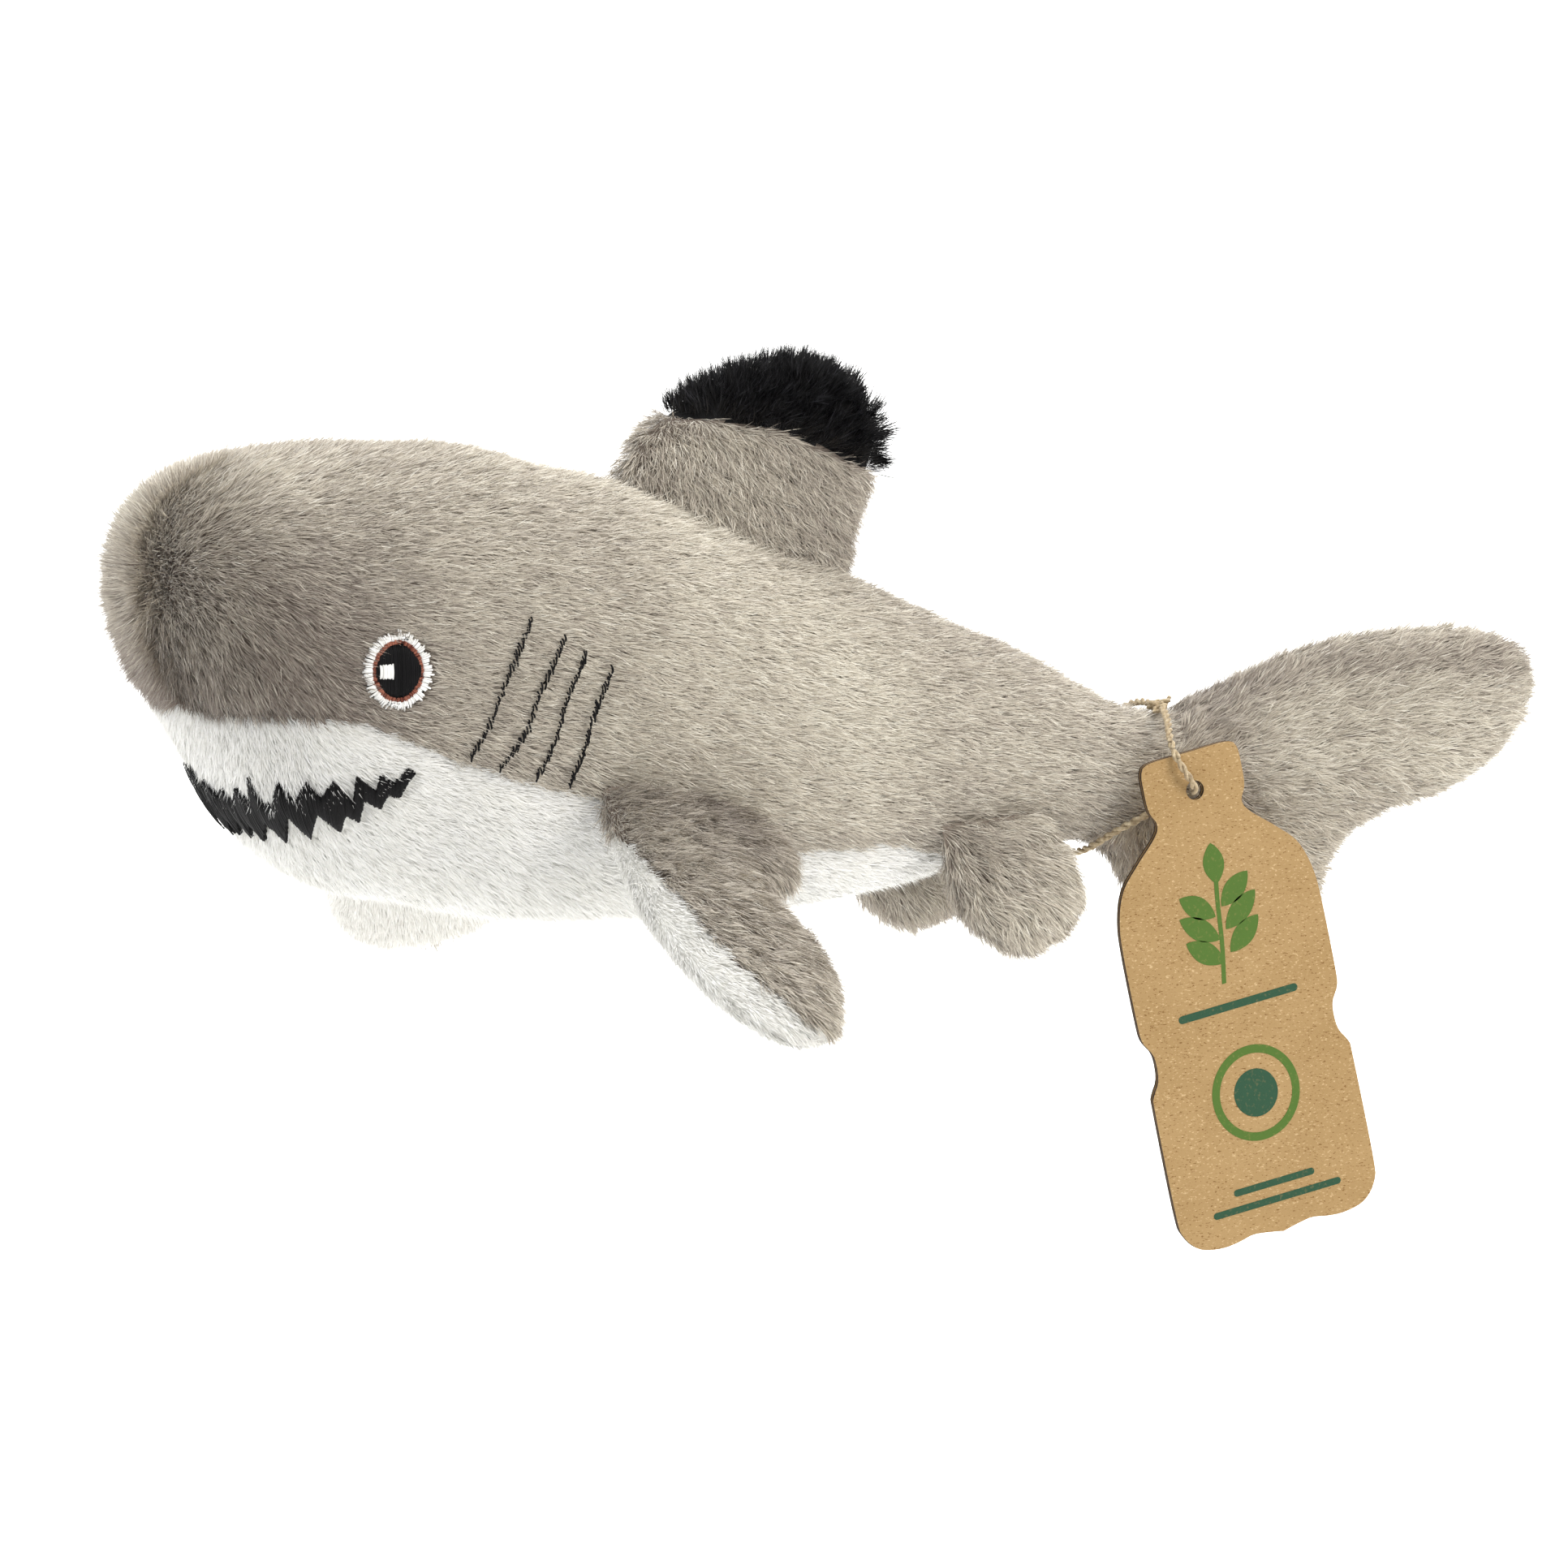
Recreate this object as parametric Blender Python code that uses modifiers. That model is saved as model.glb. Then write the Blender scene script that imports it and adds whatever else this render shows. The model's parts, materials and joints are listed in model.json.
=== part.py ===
"""Plush shark, built from its sewn panels, fillings, embroidery, fins, tail and card tag.

The nose points to -X, the tail to +X and the back to +Z.  The shark's own left is -Y.
The origin is the middle of the flat under the belly on which the toy is carried.
All driving dimensions are in millimetres and become metres when a mesh is made.
"""

from math import cos, pi, radians, sin

import bmesh
import bpy
import numpy as np
from mathutils import Matrix, Vector
from mathutils.bvhtree import BVHTree

MM = 0.001

# Fabric and gaps
CLOTH = 2.0             # plush backing with its lying pile
SEAM_GAP = 0.8          # groove between two sewn panels
FIT_GAP = 1.0           # cloth to filling
STITCH_GAP = 0.35       # embroidery to cloth

# Trunk sections from nose to tail: place along X, underside, back, half width
TRUNK_SECTIONS = [
    (-108.0, 64.0, 64.0, 0.0),
    (-107.0, 56.5, 73.5, 11.5),
    (-103.0, 48.0, 81.0, 20.5),
    (-97.0, 38.4, 85.3, 26.5),
    (-90.0, 26.6, 88.1, 30.2),
    (-82.0, 14.4, 89.4, 32.6),
    (-70.0, 7.6, 89.9, 34.0),
    (-56.0, 4.6, 89.3, 34.8),
    (-42.0, 1.6, 87.8, 35.0),
    (-28.0, -0.8, 84.6, 34.4),
    (-12.0, -1.8, 80.3, 33.0),
    (4.0, -1.8, 74.5, 30.8),
    (20.0, -1.0, 67.7, 28.0),
    (36.0, 1.2, 60.8, 24.6),
    (52.0, 4.3, 54.2, 20.8),
    (66.0, 7.4, 48.2, 17.2),
    (80.0, 9.8, 41.3, 14.2),
]
SECTION_POWER = 2.25    # 2 is an ellipse, more is fuller
WIDEST = 0.47           # height of the widest line within a section
FLAT_Z = 0.0            # the belly is flattened to this height
BELLY_START_X = -96.0   # front end of the white belly panel, under the jaw
STUFFING_START_X = -103.0

# Height of the seam between the grey back and the white belly
COLOUR_SEAM = [
    (-110.0, 42.0), (-95.0, 43.6), (-83.0, 42.6), (-76.0, 41.2), (-68.0, 37.8),
    (-59.0, 33.8), (-46.0, 29.6), (-30.0, 25.4), (-10.0, 17.0), (11.0, 12.6),
    (44.0, 12.4), (80.0, 15.0),
]

# Tail
TAIL_HINGE_X = 86.0
SOCKET_RADIUS = 17.0    # round front of the tail, about the hinge
SOCKET_GAP = 0.6
SOCKET_TALL = 120.0
SOCKET_MIDDLE_Z = 25.0
TAIL_HINGE_Z = 22.0
TAIL_BLOCK = 60.0       # block ahead of the hinge that gives the tail its round front
TAIL_BLOCK_FLOOR_Z = -20.0
TAIL_BLOCK_TALL = 90.0
TAIL_FRONT = [(67.0, 7.8), (67.0, 28.0), (67.0, 47.8)]
TAIL_TOP = [
    (67.0, 47.8), (82.0, 40.2), (97.0, 32.2), (112.0, 34.4), (130.0, 41.2), (148.0, 44.8), (166.0, 45.4),
]
TAIL_BOTTOM = [
    (67.0, 7.8), (82.0, 10.4), (91.0, 7.4), (97.0, -1.0), (103.0, -9.0), (109.0, -17.0), (114.0, -21.5),
]
TAIL_REAR = [
    (114.0, -21.5), (122.0, -19.0), (131.5, -8.0), (135.5, 3.8), (147.0, 12.8), (165.0, 17.8),
    (178.0, 28.8), (178.0, 40.6), (166.0, 45.4),
]
# Half thickness of the tail at shares of its length: round in the stock, flatter in the lobes
TAIL_HALF_AT = [0.0, 0.2, 0.36, 0.6, 1.0]
TAIL_HALF = [16.4, 13.6, 11.6, 9.0, 7.5]
TAIL_ROUND_FROM = 0.72  # share of the length where the rear starts to round off

# Dorsal fin, in the middle plane
DORSAL_FRONT_ROOT = (-12.0, 84.2)
DORSAL_REAR_ROOT = (36.5, 63.9)
DORSAL_LEAD = [(-12.0, 84.2), (-5.0, 89.5), (3.0, 95.0), (8.0, 98.6)]
DORSAL_TRAIL = [(36.5, 63.9), (39.5, 72.0), (43.5, 80.5), (45.8, 88.5)]
DORSAL_TIP = [(8.0, 98.6), (20.0, 101.6), (31.0, 101.0), (40.5, 96.6), (45.8, 88.5)]
DORSAL_BLACK_FROM = 0.7  # share of the fin's height where the black cloth starts
DORSAL_SEAM_SHARE = 0.12  # of one mesh row, left open between grey and black

# Half thickness at root and tip, in the middle of the fin
EDGE_HALF = 1.4
PILLOW_ROUND_FROM = 0.6  # share of the reach where a fin starts to round off
DORSAL_HALVES = (8.0, 7.0)
PECTORAL_HALVES = (7.0, 5.5)
PELVIC_HALVES = (5.5, 4.5)
FIN_CORE = 0.82         # size of the filling against its cloth
DORSAL_CORE = 0.8
CORE_LEAST_HALF = 0.3

# Pectoral fins: along the root, out along the fin
PECTORAL_ROOT_FRONT = (-27.0, -37.5, 23.5)
PECTORAL_ROOT_REAR = (8.0, -34.0, 13.0)
PECTORAL_REACH = (3.0, -53.0, -32.0)
PECTORAL_LEAD = [(-1.5, 0.0), (-4.6, 16.0), (-5.4, 34.0), (-1.6, 51.0), (4.4, 61.6)]
PECTORAL_TRAIL = [(36.5, 0.0), (38.0, 10.0), (33.0, 21.0), (30.0, 33.0), (31.0, 48.0), (27.0, 60.2)]
PECTORAL_TIP = [(4.4, 61.6), (10.5, 66.8), (19.5, 67.0), (27.0, 60.2)]

# Pelvic fins
PELVIC_ROOT_FRONT = (48.0, -21.0, 10.4)
PELVIC_ROOT_REAR = (72.4, -16.6, 11.6)
PELVIC_REACH = (3.5, -6.5, -18.0)
PELVIC_LEAD = [(0.0, 0.0), (0.5, 7.0), (3.0, 13.5), (6.5, 17.0)]
PELVIC_TRAIL = [(24.4, 0.0), (26.5, 6.5), (25.5, 13.0), (21.5, 17.5)]
PELVIC_TIP = [(6.5, 17.0), (11.0, 19.4), (16.5, 19.6), (21.5, 17.5)]

# Face
EYE_PLACE = (-70.0, 50.8)
EYE_RADIUS = 7.0
EYE_THICK = 1.2
EYE_LIFT = 0.5          # the flat disc stands clear of the bulging cheek
EYE_BEVEL = 0.35
GILLS = [
    [(-42.8, 59.0), (-48.6, 48.0), (-51.6, 41.0), (-55.5, 34.4)],
    [(-36.2, 55.4), (-41.6, 46.0), (-44.6, 38.5), (-49.4, 32.0)],
    [(-31.9, 52.3), (-36.4, 43.5), (-38.4, 37.0), (-41.8, 30.0)],
    [(-26.5, 49.3), (-30.6, 41.0), (-32.6, 34.5), (-35.1, 28.2)],
]
GILL_THREAD = 1.2
MOUTH_CENTRE_X = -58.0
MOUTH_TURN = 78.0       # degrees each side of straight ahead
MOUTH_LINE = 24.8
MOUTH_CORNER_RISE = 6.7
MOUTH_HALF_HEIGHT = 4.9
MOUTH_TAPER = 0.86      # share of its height lost at the corners
MOUTH_THICK = 1.0

# Card tag on its twine
TAG_HOLE = (101.5, -19.6, 19.6)
TAG_LEAN = 12.5         # degrees the hanging card leans to the tail
CARD_THICK = 1.8
CARD_SLOT = 0.4         # between the card's two leaves
CARD_SLOT_WIDE = 42.4
CARD_SLOT_LONG = 110.0
CARD_SLOT_MIDDLE = -40.0
CARD_FOLD_WIDTH = 3.0   # left edge where the leaves stay joined
CARD_HOLE_RADIUS = 1.9
CARD_HALF = [
    (9.8, 7.2), (10.2, 5.6), (10.2, -1.6), (9.2, -4.6), (11.4, -8.2), (17.6, -13.6), (20.2, -18.6),
    (21.2, -27.0), (21.2, -43.0), (19.0, -46.6), (19.0, -52.6), (21.2, -56.4), (21.2, -80.0),
    (19.4, -84.6), (13.0, -86.6), (6.0, -85.8),
]
TWINE = 1.4
TWINE_PATH = [
    (101.2, -7.0, 34.0), (99.2, -13.2, 32.2), (97.2, -18.2, 29.9), (96.7, -20.9, 27.6),
    (97.6, -22.1, 24.9), (99.7, -22.1, 21.8), (101.3, -20.9, 19.7), (101.4, -18.7, 18.9),
    (100.5, -16.9, 17.9), (97.0, -16.4, 16.4), (92.6, -15.3, 14.2), (88.4, -12.4, 11.4),
    (85.6, -8.0, 8.4), (84.9, -2.5, 6.9), (85.3, 3.5, 7.1), (87.4, 9.2, 10.0),
    (91.2, 12.8, 15.0), (95.4, 14.4, 21.5), (98.8, 13.2, 28.2), (100.8, 9.2, 32.6),
    (101.6, 4.2, 34.1), (101.9, -1.4, 34.2),
]
KNOT_RADIUS = 2.0

# Meshing
TRUNK_ROWS = 26
BACK_COLUMNS = 11
BELLY_ROWS = 22
BELLY_COLUMNS = 15
STUFFING_ROWS = 16
STUFFING_SIDES = 20
LAYING_ROWS = 90
LAYING_COLUMNS = 97
FIN_ROWS = 8
FIN_COLUMNS = 7
DORSAL_ROWS = 10
DORSAL_COLUMNS = 9
TAIL_ROWS = 18
TAIL_COLUMNS = 11
EYE_SIDES = 24
GILL_POINTS = 8
MOUTH_COLUMNS = 27
SOCKET_SIDES = 48
BLOCK_SIDES = 25
HOLE_SIDES = 16
TWINE_POINTS = 44
SLOPE_STEP = 0.02       # mm and radians, for the slopes of the trunk's surface

LEFT = -1
RIGHT = 1
SIDES = {"left": LEFT, "right": RIGHT}

COLOURS = {
    "grey_plush": (0.40, 0.36, 0.30),
    "white_plush": (0.84, 0.85, 0.80),
    "black_plush": (0.012, 0.012, 0.014),
    "fibre": (0.80, 0.80, 0.78),
    "black_thread": (0.015, 0.014, 0.015),
    "kraft_card": (0.52, 0.34, 0.15),
    "jute": (0.42, 0.32, 0.17),
}


def clear_scene():
    for thing in list(bpy.data.objects):
        bpy.data.objects.remove(thing, do_unlink=True)


def new_collection(name):
    group = bpy.data.collections.new(name)
    bpy.context.scene.collection.children.link(group)
    return group


def material(slot):
    """One Principled material for each kind of cloth, thread or card."""
    found = bpy.data.materials.get(slot)
    if found:
        return found
    made = bpy.data.materials.new(slot)
    made.use_nodes = True
    shader = made.node_tree.nodes["Principled BSDF"]
    shader.inputs["Base Color"].default_value = (*COLOURS[slot], 1.0)
    shader.inputs["Roughness"].default_value = 0.9
    shader.inputs["Metallic"].default_value = 0.0
    return made


def add_object(name, mesh, slot, group, parent=None, smooth=True):
    thing = bpy.data.objects.new(name, mesh)
    group.objects.link(thing)
    mesh.materials.append(material(slot))
    if smooth:
        mesh.shade_smooth()
        mesh.set_sharp_from_angle(angle=radians(45))
    if parent:
        thing.parent = parent
        thing.matrix_parent_inverse = parent.matrix_world.inverted()
    return thing


def pivot(name, place, group):
    """An empty on a joint's axis, which the moving pieces are parented to."""
    empty = bpy.data.objects.new(name, None)
    empty.location = Vector(place) * MM
    empty.empty_display_size = 0.01
    group.objects.link(empty)
    bpy.context.view_layer.update()
    return empty


def smooth_line(points, count):
    """count points on a Catmull-Rom curve through the given ones, evenly spaced along it."""
    given = np.array(points, float)
    padded = np.vstack([2 * given[0] - given[1], given, 2 * given[-1] - given[-2]])
    step = np.linspace(0, len(given) - 1, 12 * len(given) + 1)
    piece = np.minimum(step.astype(int), len(given) - 2)
    t = (step - piece)[:, None]
    a, b, c, d = (padded[piece + k] for k in range(4))
    square, cube = 2 * a - 5 * b + 4 * c - d, 3 * b - a - 3 * c + d
    curve = 0.5 * (2 * b + (c - a) * t + square * t**2 + cube * t**3)
    run = np.concatenate([[0], np.cumsum(np.linalg.norm(np.diff(curve, axis=0), axis=1))])
    wanted = np.linspace(0, run[-1], count)
    return np.column_stack([np.interp(wanted, run, column) for column in curve.T])


def slab(outer, inner):
    """A closed solid between two grids of points, with a wall along their four edges."""
    rows, columns = outer.shape[:2]
    shape = bmesh.new()
    layers = [[[shape.verts.new(p * MM) for p in row] for row in grid] for grid in (outer, inner)]
    for k, layer in enumerate(layers):
        for i in range(rows - 1):
            for j in range(columns - 1):
                face = [layer[i][j], layer[i][j + 1], layer[i + 1][j + 1], layer[i + 1][j]]
                shape.faces.new(face if k == 0 else face[::-1])
    edge = [(0, j) for j in range(columns)] + [(i, columns - 1) for i in range(1, rows)]
    edge += [(rows - 1, j) for j in range(columns - 2, -1, -1)] + [(i, 0) for i in range(rows - 2, 0, -1)]
    for (i, j), (k, m) in zip(edge, edge[1:] + edge[:1]):
        shape.faces.new([layers[0][k][m], layers[0][i][j], layers[1][i][j], layers[1][k][m]])
    return finish_mesh(shape)


def tube(rings):
    """A closed solid through a stack of closed rings, with flat caps."""
    shape = bmesh.new()
    made = [[shape.verts.new(p * MM) for p in ring] for ring in rings]
    for low, high in zip(made, made[1:]):
        for j in range(len(low)):
            k = (j + 1) % len(low)
            shape.faces.new([low[j], low[k], high[k], high[j]])
    shape.faces.new(made[0][::-1])
    shape.faces.new(made[-1])
    return finish_mesh(shape)


def finish_mesh(shape):
    bmesh.ops.recalc_face_normals(shape, faces=shape.faces)
    mesh = bpy.data.meshes.new("solid")
    shape.to_mesh(mesh)
    shape.free()
    return mesh


def cut(thing, cutter, operation="DIFFERENCE"):
    boolean = thing.modifiers.new(cutter.name, "BOOLEAN")
    boolean.operation = operation
    boolean.solver = "EXACT"
    boolean.object = cutter


def as_cutter(thing):
    thing.hide_render = True
    thing.display_type = "WIRE"
    return thing


# ---------------------------------------------------------------- trunk

SECTION_LINE = smooth_line(TRUNK_SECTIONS, 240)


def section(x):
    """Underside, back and half width of the trunk at x."""
    return [np.interp(x, SECTION_LINE[:, 0], SECTION_LINE[:, k]) for k in (1, 2, 3)]


def trunk_point(x, turn):
    """A point on the trunk's cloth: turn is the angle in its section, 90 degrees on the back."""
    low, high, half = section(x)
    middle = low + WIDEST * (high - low)
    up, side = np.sin(turn), np.cos(turn)
    reach = np.where(up > 0, high - middle, middle - low)
    power = 2 / SECTION_POWER
    y = half * np.sign(side) * np.abs(side) ** power
    z = middle + reach * np.sign(up) * np.abs(up) ** power
    return np.stack([x + 0 * y, y, np.maximum(z, FLAT_Z)], axis=-1)


def trunk_normal(x, turn):
    """The outward direction there, from the two slopes of the surface."""
    ahead = trunk_point(x + SLOPE_STEP, turn) - trunk_point(x - SLOPE_STEP, turn)
    round_it = trunk_point(x, turn + SLOPE_STEP) - trunk_point(x, turn - SLOPE_STEP)
    out = np.cross(round_it, ahead)
    return out / np.maximum(np.linalg.norm(out, axis=-1, keepdims=True), 1e-9)


def seam_turn(x, shift):
    """The angle on the right side at which the colour seam, moved up by shift, crosses a section."""
    low, high, _ = section(x)
    middle = low + WIDEST * (high - low)
    line = np.array(COLOUR_SEAM)
    drop = (middle - np.interp(x, line[:, 0], line[:, 1]) - shift) / np.maximum(middle - low, 0.1)
    return -np.arcsin(np.clip(drop, 0, 1) ** (SECTION_POWER / 2))


def trunk_rows(start, end, rows):
    """Places along X, closer together on the blunt nose."""
    share = np.linspace(0, 1, rows)
    return start + (end - start) * (0.25 * share + 0.75 * share**2)


def panel(x, turns, sideways=0.0):
    """Cloth between the trunk's surface and a surface inside it."""
    outer = trunk_point(x, turns)
    inner = outer - CLOTH * trunk_normal(x, turns)
    shift = np.array([0, sideways, 0])
    return slab(outer + shift, inner + shift)


def build_trunk(group, tail_socket):
    first, last = TRUNK_SECTIONS[0][0] + 0.05, TRUNK_SECTIONS[-1][0]
    x = trunk_rows(first, last, TRUNK_ROWS)[:, None]
    share = np.linspace(0, 1, BACK_COLUMNS)[None, :]
    for side_name, side in SIDES.items():
        low = seam_turn(x, SEAM_GAP / 2)
        turns = pi / 2 + (low - pi / 2) * share
        turns = turns if side == RIGHT else pi - turns
        mesh = panel(x, turns, side * SEAM_GAP / 2)
        back = add_object(f"body_panel_{side_name}", mesh, "grey_plush", group)
        cut(back, tail_socket)
    x = np.linspace(BELLY_START_X, last, BELLY_ROWS)[:, None]
    low = seam_turn(x, -SEAM_GAP / 2)
    turns = low + (-pi - 2 * low) * np.linspace(0, 1, BELLY_COLUMNS)[None, :]
    belly = add_object("belly_panel", panel(x, turns), "white_plush", group)
    cut(belly, tail_socket)
    turns = np.linspace(0, 2 * pi, STUFFING_SIDES, endpoint=False)
    rings = []
    for place in trunk_rows(STUFFING_START_X, last, STUFFING_ROWS):
        x = np.full_like(turns, place)
        rings.append(trunk_point(x, turns) - (CLOTH + FIT_GAP) * trunk_normal(x, turns))
    filling = add_object("body_stuffing", tube(rings), "fibre", group)
    cut(filling, tail_socket)


def trunk_tree():
    """The trunk's outer surface, for laying embroidery on it."""
    x = trunk_rows(TRUNK_SECTIONS[0][0], TRUNK_SECTIONS[-1][0], LAYING_ROWS)[:, None]
    turns = np.linspace(0, 2 * pi, LAYING_COLUMNS)[None, :]
    grid = trunk_point(x, turns)
    points = [tuple(p) for p in grid.reshape(-1, 3)]
    faces = []
    for i in range(grid.shape[0] - 1):
        for j in range(grid.shape[1] - 1):
            a = i * grid.shape[1] + j
            faces.append((a, a + 1, a + 1 + grid.shape[1], a + grid.shape[1]))
    return BVHTree.FromPolygons(points, faces)


def on_side(tree, x, z, side):
    """The place and outward direction on the trunk's side, seen level from that side."""
    place, out, _, _ = tree.ray_cast(Vector((x, side * 100, z)), Vector((0, -side, 0)))
    return place, out if out.y * side > 0 else -out


def build_eye(name, tree, side, group):
    """A round of satin stitch, as a bevelled disc lying on the cloth."""
    place, out = on_side(tree, *EYE_PLACE, side)
    shape = bmesh.new()
    radius = EYE_RADIUS * MM
    bmesh.ops.create_cone(
        shape, cap_ends=True, segments=EYE_SIDES, radius1=radius, radius2=radius, depth=EYE_THICK * MM
    )
    eye = add_object(name, finish_mesh(shape), "black_thread", group)
    eye.location = (place + out * (EYE_THICK / 2 + STITCH_GAP + EYE_LIFT)) * MM
    eye.rotation_euler = out.to_track_quat("Z", "Y").to_euler()
    bevel = eye.modifiers.new("rounded", "BEVEL")
    bevel.width = EYE_BEVEL * MM
    bevel.segments = 1


def curve_mesh(name, points, thick, slot, group, resolution):
    """A round cord through the points, as a curve with filled ends."""
    curve = bpy.data.curves.new(name, "CURVE")
    curve.dimensions = "3D"
    curve.bevel_depth = thick / 2 * MM
    curve.bevel_resolution = resolution
    curve.use_fill_caps = True
    spline = curve.splines.new("POLY")
    spline.points.add(len(points) - 1)
    for target, point in zip(spline.points, points):
        target.co = (*(Vector(point) * MM), 1)
    curve.materials.append(material(slot))
    thing = bpy.data.objects.new(name, curve)
    group.objects.link(thing)
    return thing


def build_gills(tree, side_name, side, group):
    for number, line in enumerate(GILLS, 1):
        points = []
        for x, z in smooth_line(line, GILL_POINTS):
            place, out = on_side(tree, x, z, side)
            points.append(place + out * (GILL_THREAD / 2 + STITCH_GAP))
        curve_mesh(f"gill_stitch_{side_name}_{number}", points, GILL_THREAD, "black_thread", group, 1)


def build_mouth(tree, group):
    """A band of satin stitch round the jaw, narrowing to its corners."""
    grids = [[], []]
    for share in np.linspace(-1, 1, MOUTH_COLUMNS):
        turn = radians(MOUTH_TURN * share)
        middle = MOUTH_LINE + MOUTH_CORNER_RISE * share**2
        half = MOUTH_HALF_HEIGHT * (1 - MOUTH_TAPER * share**4)
        rows = [[], []]
        for z in (middle + half, middle, middle - half):
            way = Vector((-cos(turn), sin(turn), 0))
            place, out, _, _ = tree.ray_cast(Vector((MOUTH_CENTRE_X, 0, z)), way)
            out = out if out.dot(way) > 0 else -out
            rows[0].append(place + out * (STITCH_GAP + MOUTH_THICK))
            rows[1].append(place + out * STITCH_GAP)
        grids[0].append(rows[0])
        grids[1].append(rows[1])
    mesh = slab(np.array(grids[0]), np.array(grids[1]))
    add_object("mouth_embroidery", mesh, "black_thread", group)


# ---------------------------------------------------------------- fins

def patch(root, tip, lead, trail, rows, columns):
    """Flat points between four edges: from root to tip down the rows, lead to trail across."""
    u = np.linspace(0, 1, rows)[:, None, None]
    v = np.linspace(0, 1, columns)[None, :, None]
    root, tip = smooth_line(root, columns)[None], smooth_line(tip, columns)[None]
    lead, trail = smooth_line(lead, rows)[:, None], smooth_line(trail, rows)[:, None]
    root_line = (1 - v) * root[:, :1] + v * root[:, -1:]
    tip_line = (1 - v) * tip[:, :1] + v * tip[:, -1:]
    return (1 - u) * (root - root_line) + u * (tip - tip_line) + (1 - v) * lead + v * trail


def crowned(middle, round_from):
    """Half thickness over a patch: full down its middle, thin along lead, trail and rounded tip."""
    u = np.linspace(0, 1, len(middle))[:, None]
    v = np.linspace(0, 1, middle.shape[1])[None, :]
    past = np.clip((u - round_from) / (1 - round_from), 0, 1)
    crown = np.sqrt(np.clip(4 * v * (1 - v), 0, 1)) * np.sqrt(1 - past**2)
    return EDGE_HALF + (middle - EDGE_HALF) * crown


def pillow(flat, root_half, tip_half):
    """Half thickness of a fin whose middle changes evenly from root to tip."""
    rows, columns = flat.shape[:2]
    u = np.linspace(0, 1, rows)[:, None] * np.ones((1, columns))
    return crowned(root_half + (tip_half - root_half) * u, PILLOW_ROUND_FROM)


def stand(flat, height):
    """Patch points raised by height out of their plane: along X and Z of the fin's frame."""
    return np.concatenate([flat, height[..., None]], axis=-1)


def shrink(flat, keep):
    """The patch drawn in towards its middle."""
    centre = flat.reshape(-1, 2).mean(axis=0)
    return centre + (flat - centre) * keep


def filling(flat, half):
    """A fin's filling: a patch already drawn in, as thick as the cloth leaves room for."""
    room = np.maximum(half - CLOTH - FIT_GAP, CORE_LEAST_HALF)
    return slab(stand(flat, room), stand(flat, -room))


def fin_solids(flat, half):
    """The two cloth sides of a fin and its filling, in the frame of its flat patch."""
    inner = np.maximum(half - CLOTH, SEAM_GAP / 2)
    raised = slab(stand(flat, half), stand(flat, inner))
    sunk = slab(stand(flat, -half), stand(flat, -inner))
    return raised, sunk, filling(shrink(flat, FIN_CORE), least_near(half))


def least_near(half):
    """The least half thickness among each point's neighbours, so a drawn-in core stays inside."""
    wide = np.pad(half, 1, mode="edge")
    rows, columns = half.shape
    moved = [wide[i:i + rows, j:j + columns] for i in range(3) for j in range(3)]
    return np.min(moved, axis=0)


def fin_frame(front, rear, reach):
    """A matrix whose X runs along the root, Y out along the fin and Z out of its upper side."""
    along = (Vector(rear) - Vector(front)).normalized()
    out = Vector(reach)
    out = (out - along * out.dot(along)).normalized()
    up = along.cross(out)
    return Matrix.Translation(Vector(front) * MM) @ Matrix((along, out, up)).transposed().to_4x4()


def place_fin(things, frame, mirror):
    """Puts a fin's meshes in the world, mirrored in the middle plane for the right side."""
    for thing in things:
        thing.data.transform(frame)
        if mirror:
            thing.data.transform(Matrix.Scale(-1, 4, Vector((0, 1, 0))))
            thing.data.flip_normals()


def build_side_fins(name, edges, halves, root, slots, group):
    front, rear, reach = root
    frame = fin_frame(front, rear, reach)
    lead, trail, tip = edges
    flat = patch([lead[0], trail[0]], tip, lead, trail, FIN_ROWS, FIN_COLUMNS)
    half = pillow(flat, *halves)
    for side_name, side in SIDES.items():
        raised, sunk, core = fin_solids(flat, half)
        hinge = pivot(f"{name}_{side_name}_pivot", (front[0], -side * front[1], front[2]), group)
        made = []
        # the frame's Z points down through a left fin, so the sunk side is its top
        for mesh, part_name, slot in zip((sunk, raised, core), ("top", "underside", "stuffing"), slots):
            made.append(add_object(f"{name}_{side_name}_{part_name}", mesh, slot, group))
        place_fin(made, frame, side == RIGHT)
        for thing in made:
            thing.parent = hinge
            thing.matrix_parent_inverse = hinge.matrix_world.inverted()


def upright(mesh, side):
    """Turns a mesh made in the fin's flat frame into the middle plane, thickness along Y."""
    mesh.transform(Matrix(((1, 0, 0, 0), (0, 0, side, 0), (0, 1, 0, 0), (0, 0, 0, 1))))
    fix = bmesh.new()
    fix.from_mesh(mesh)
    bmesh.ops.recalc_face_normals(fix, faces=fix.faces)
    fix.to_mesh(mesh)
    fix.free()
    return mesh


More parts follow.
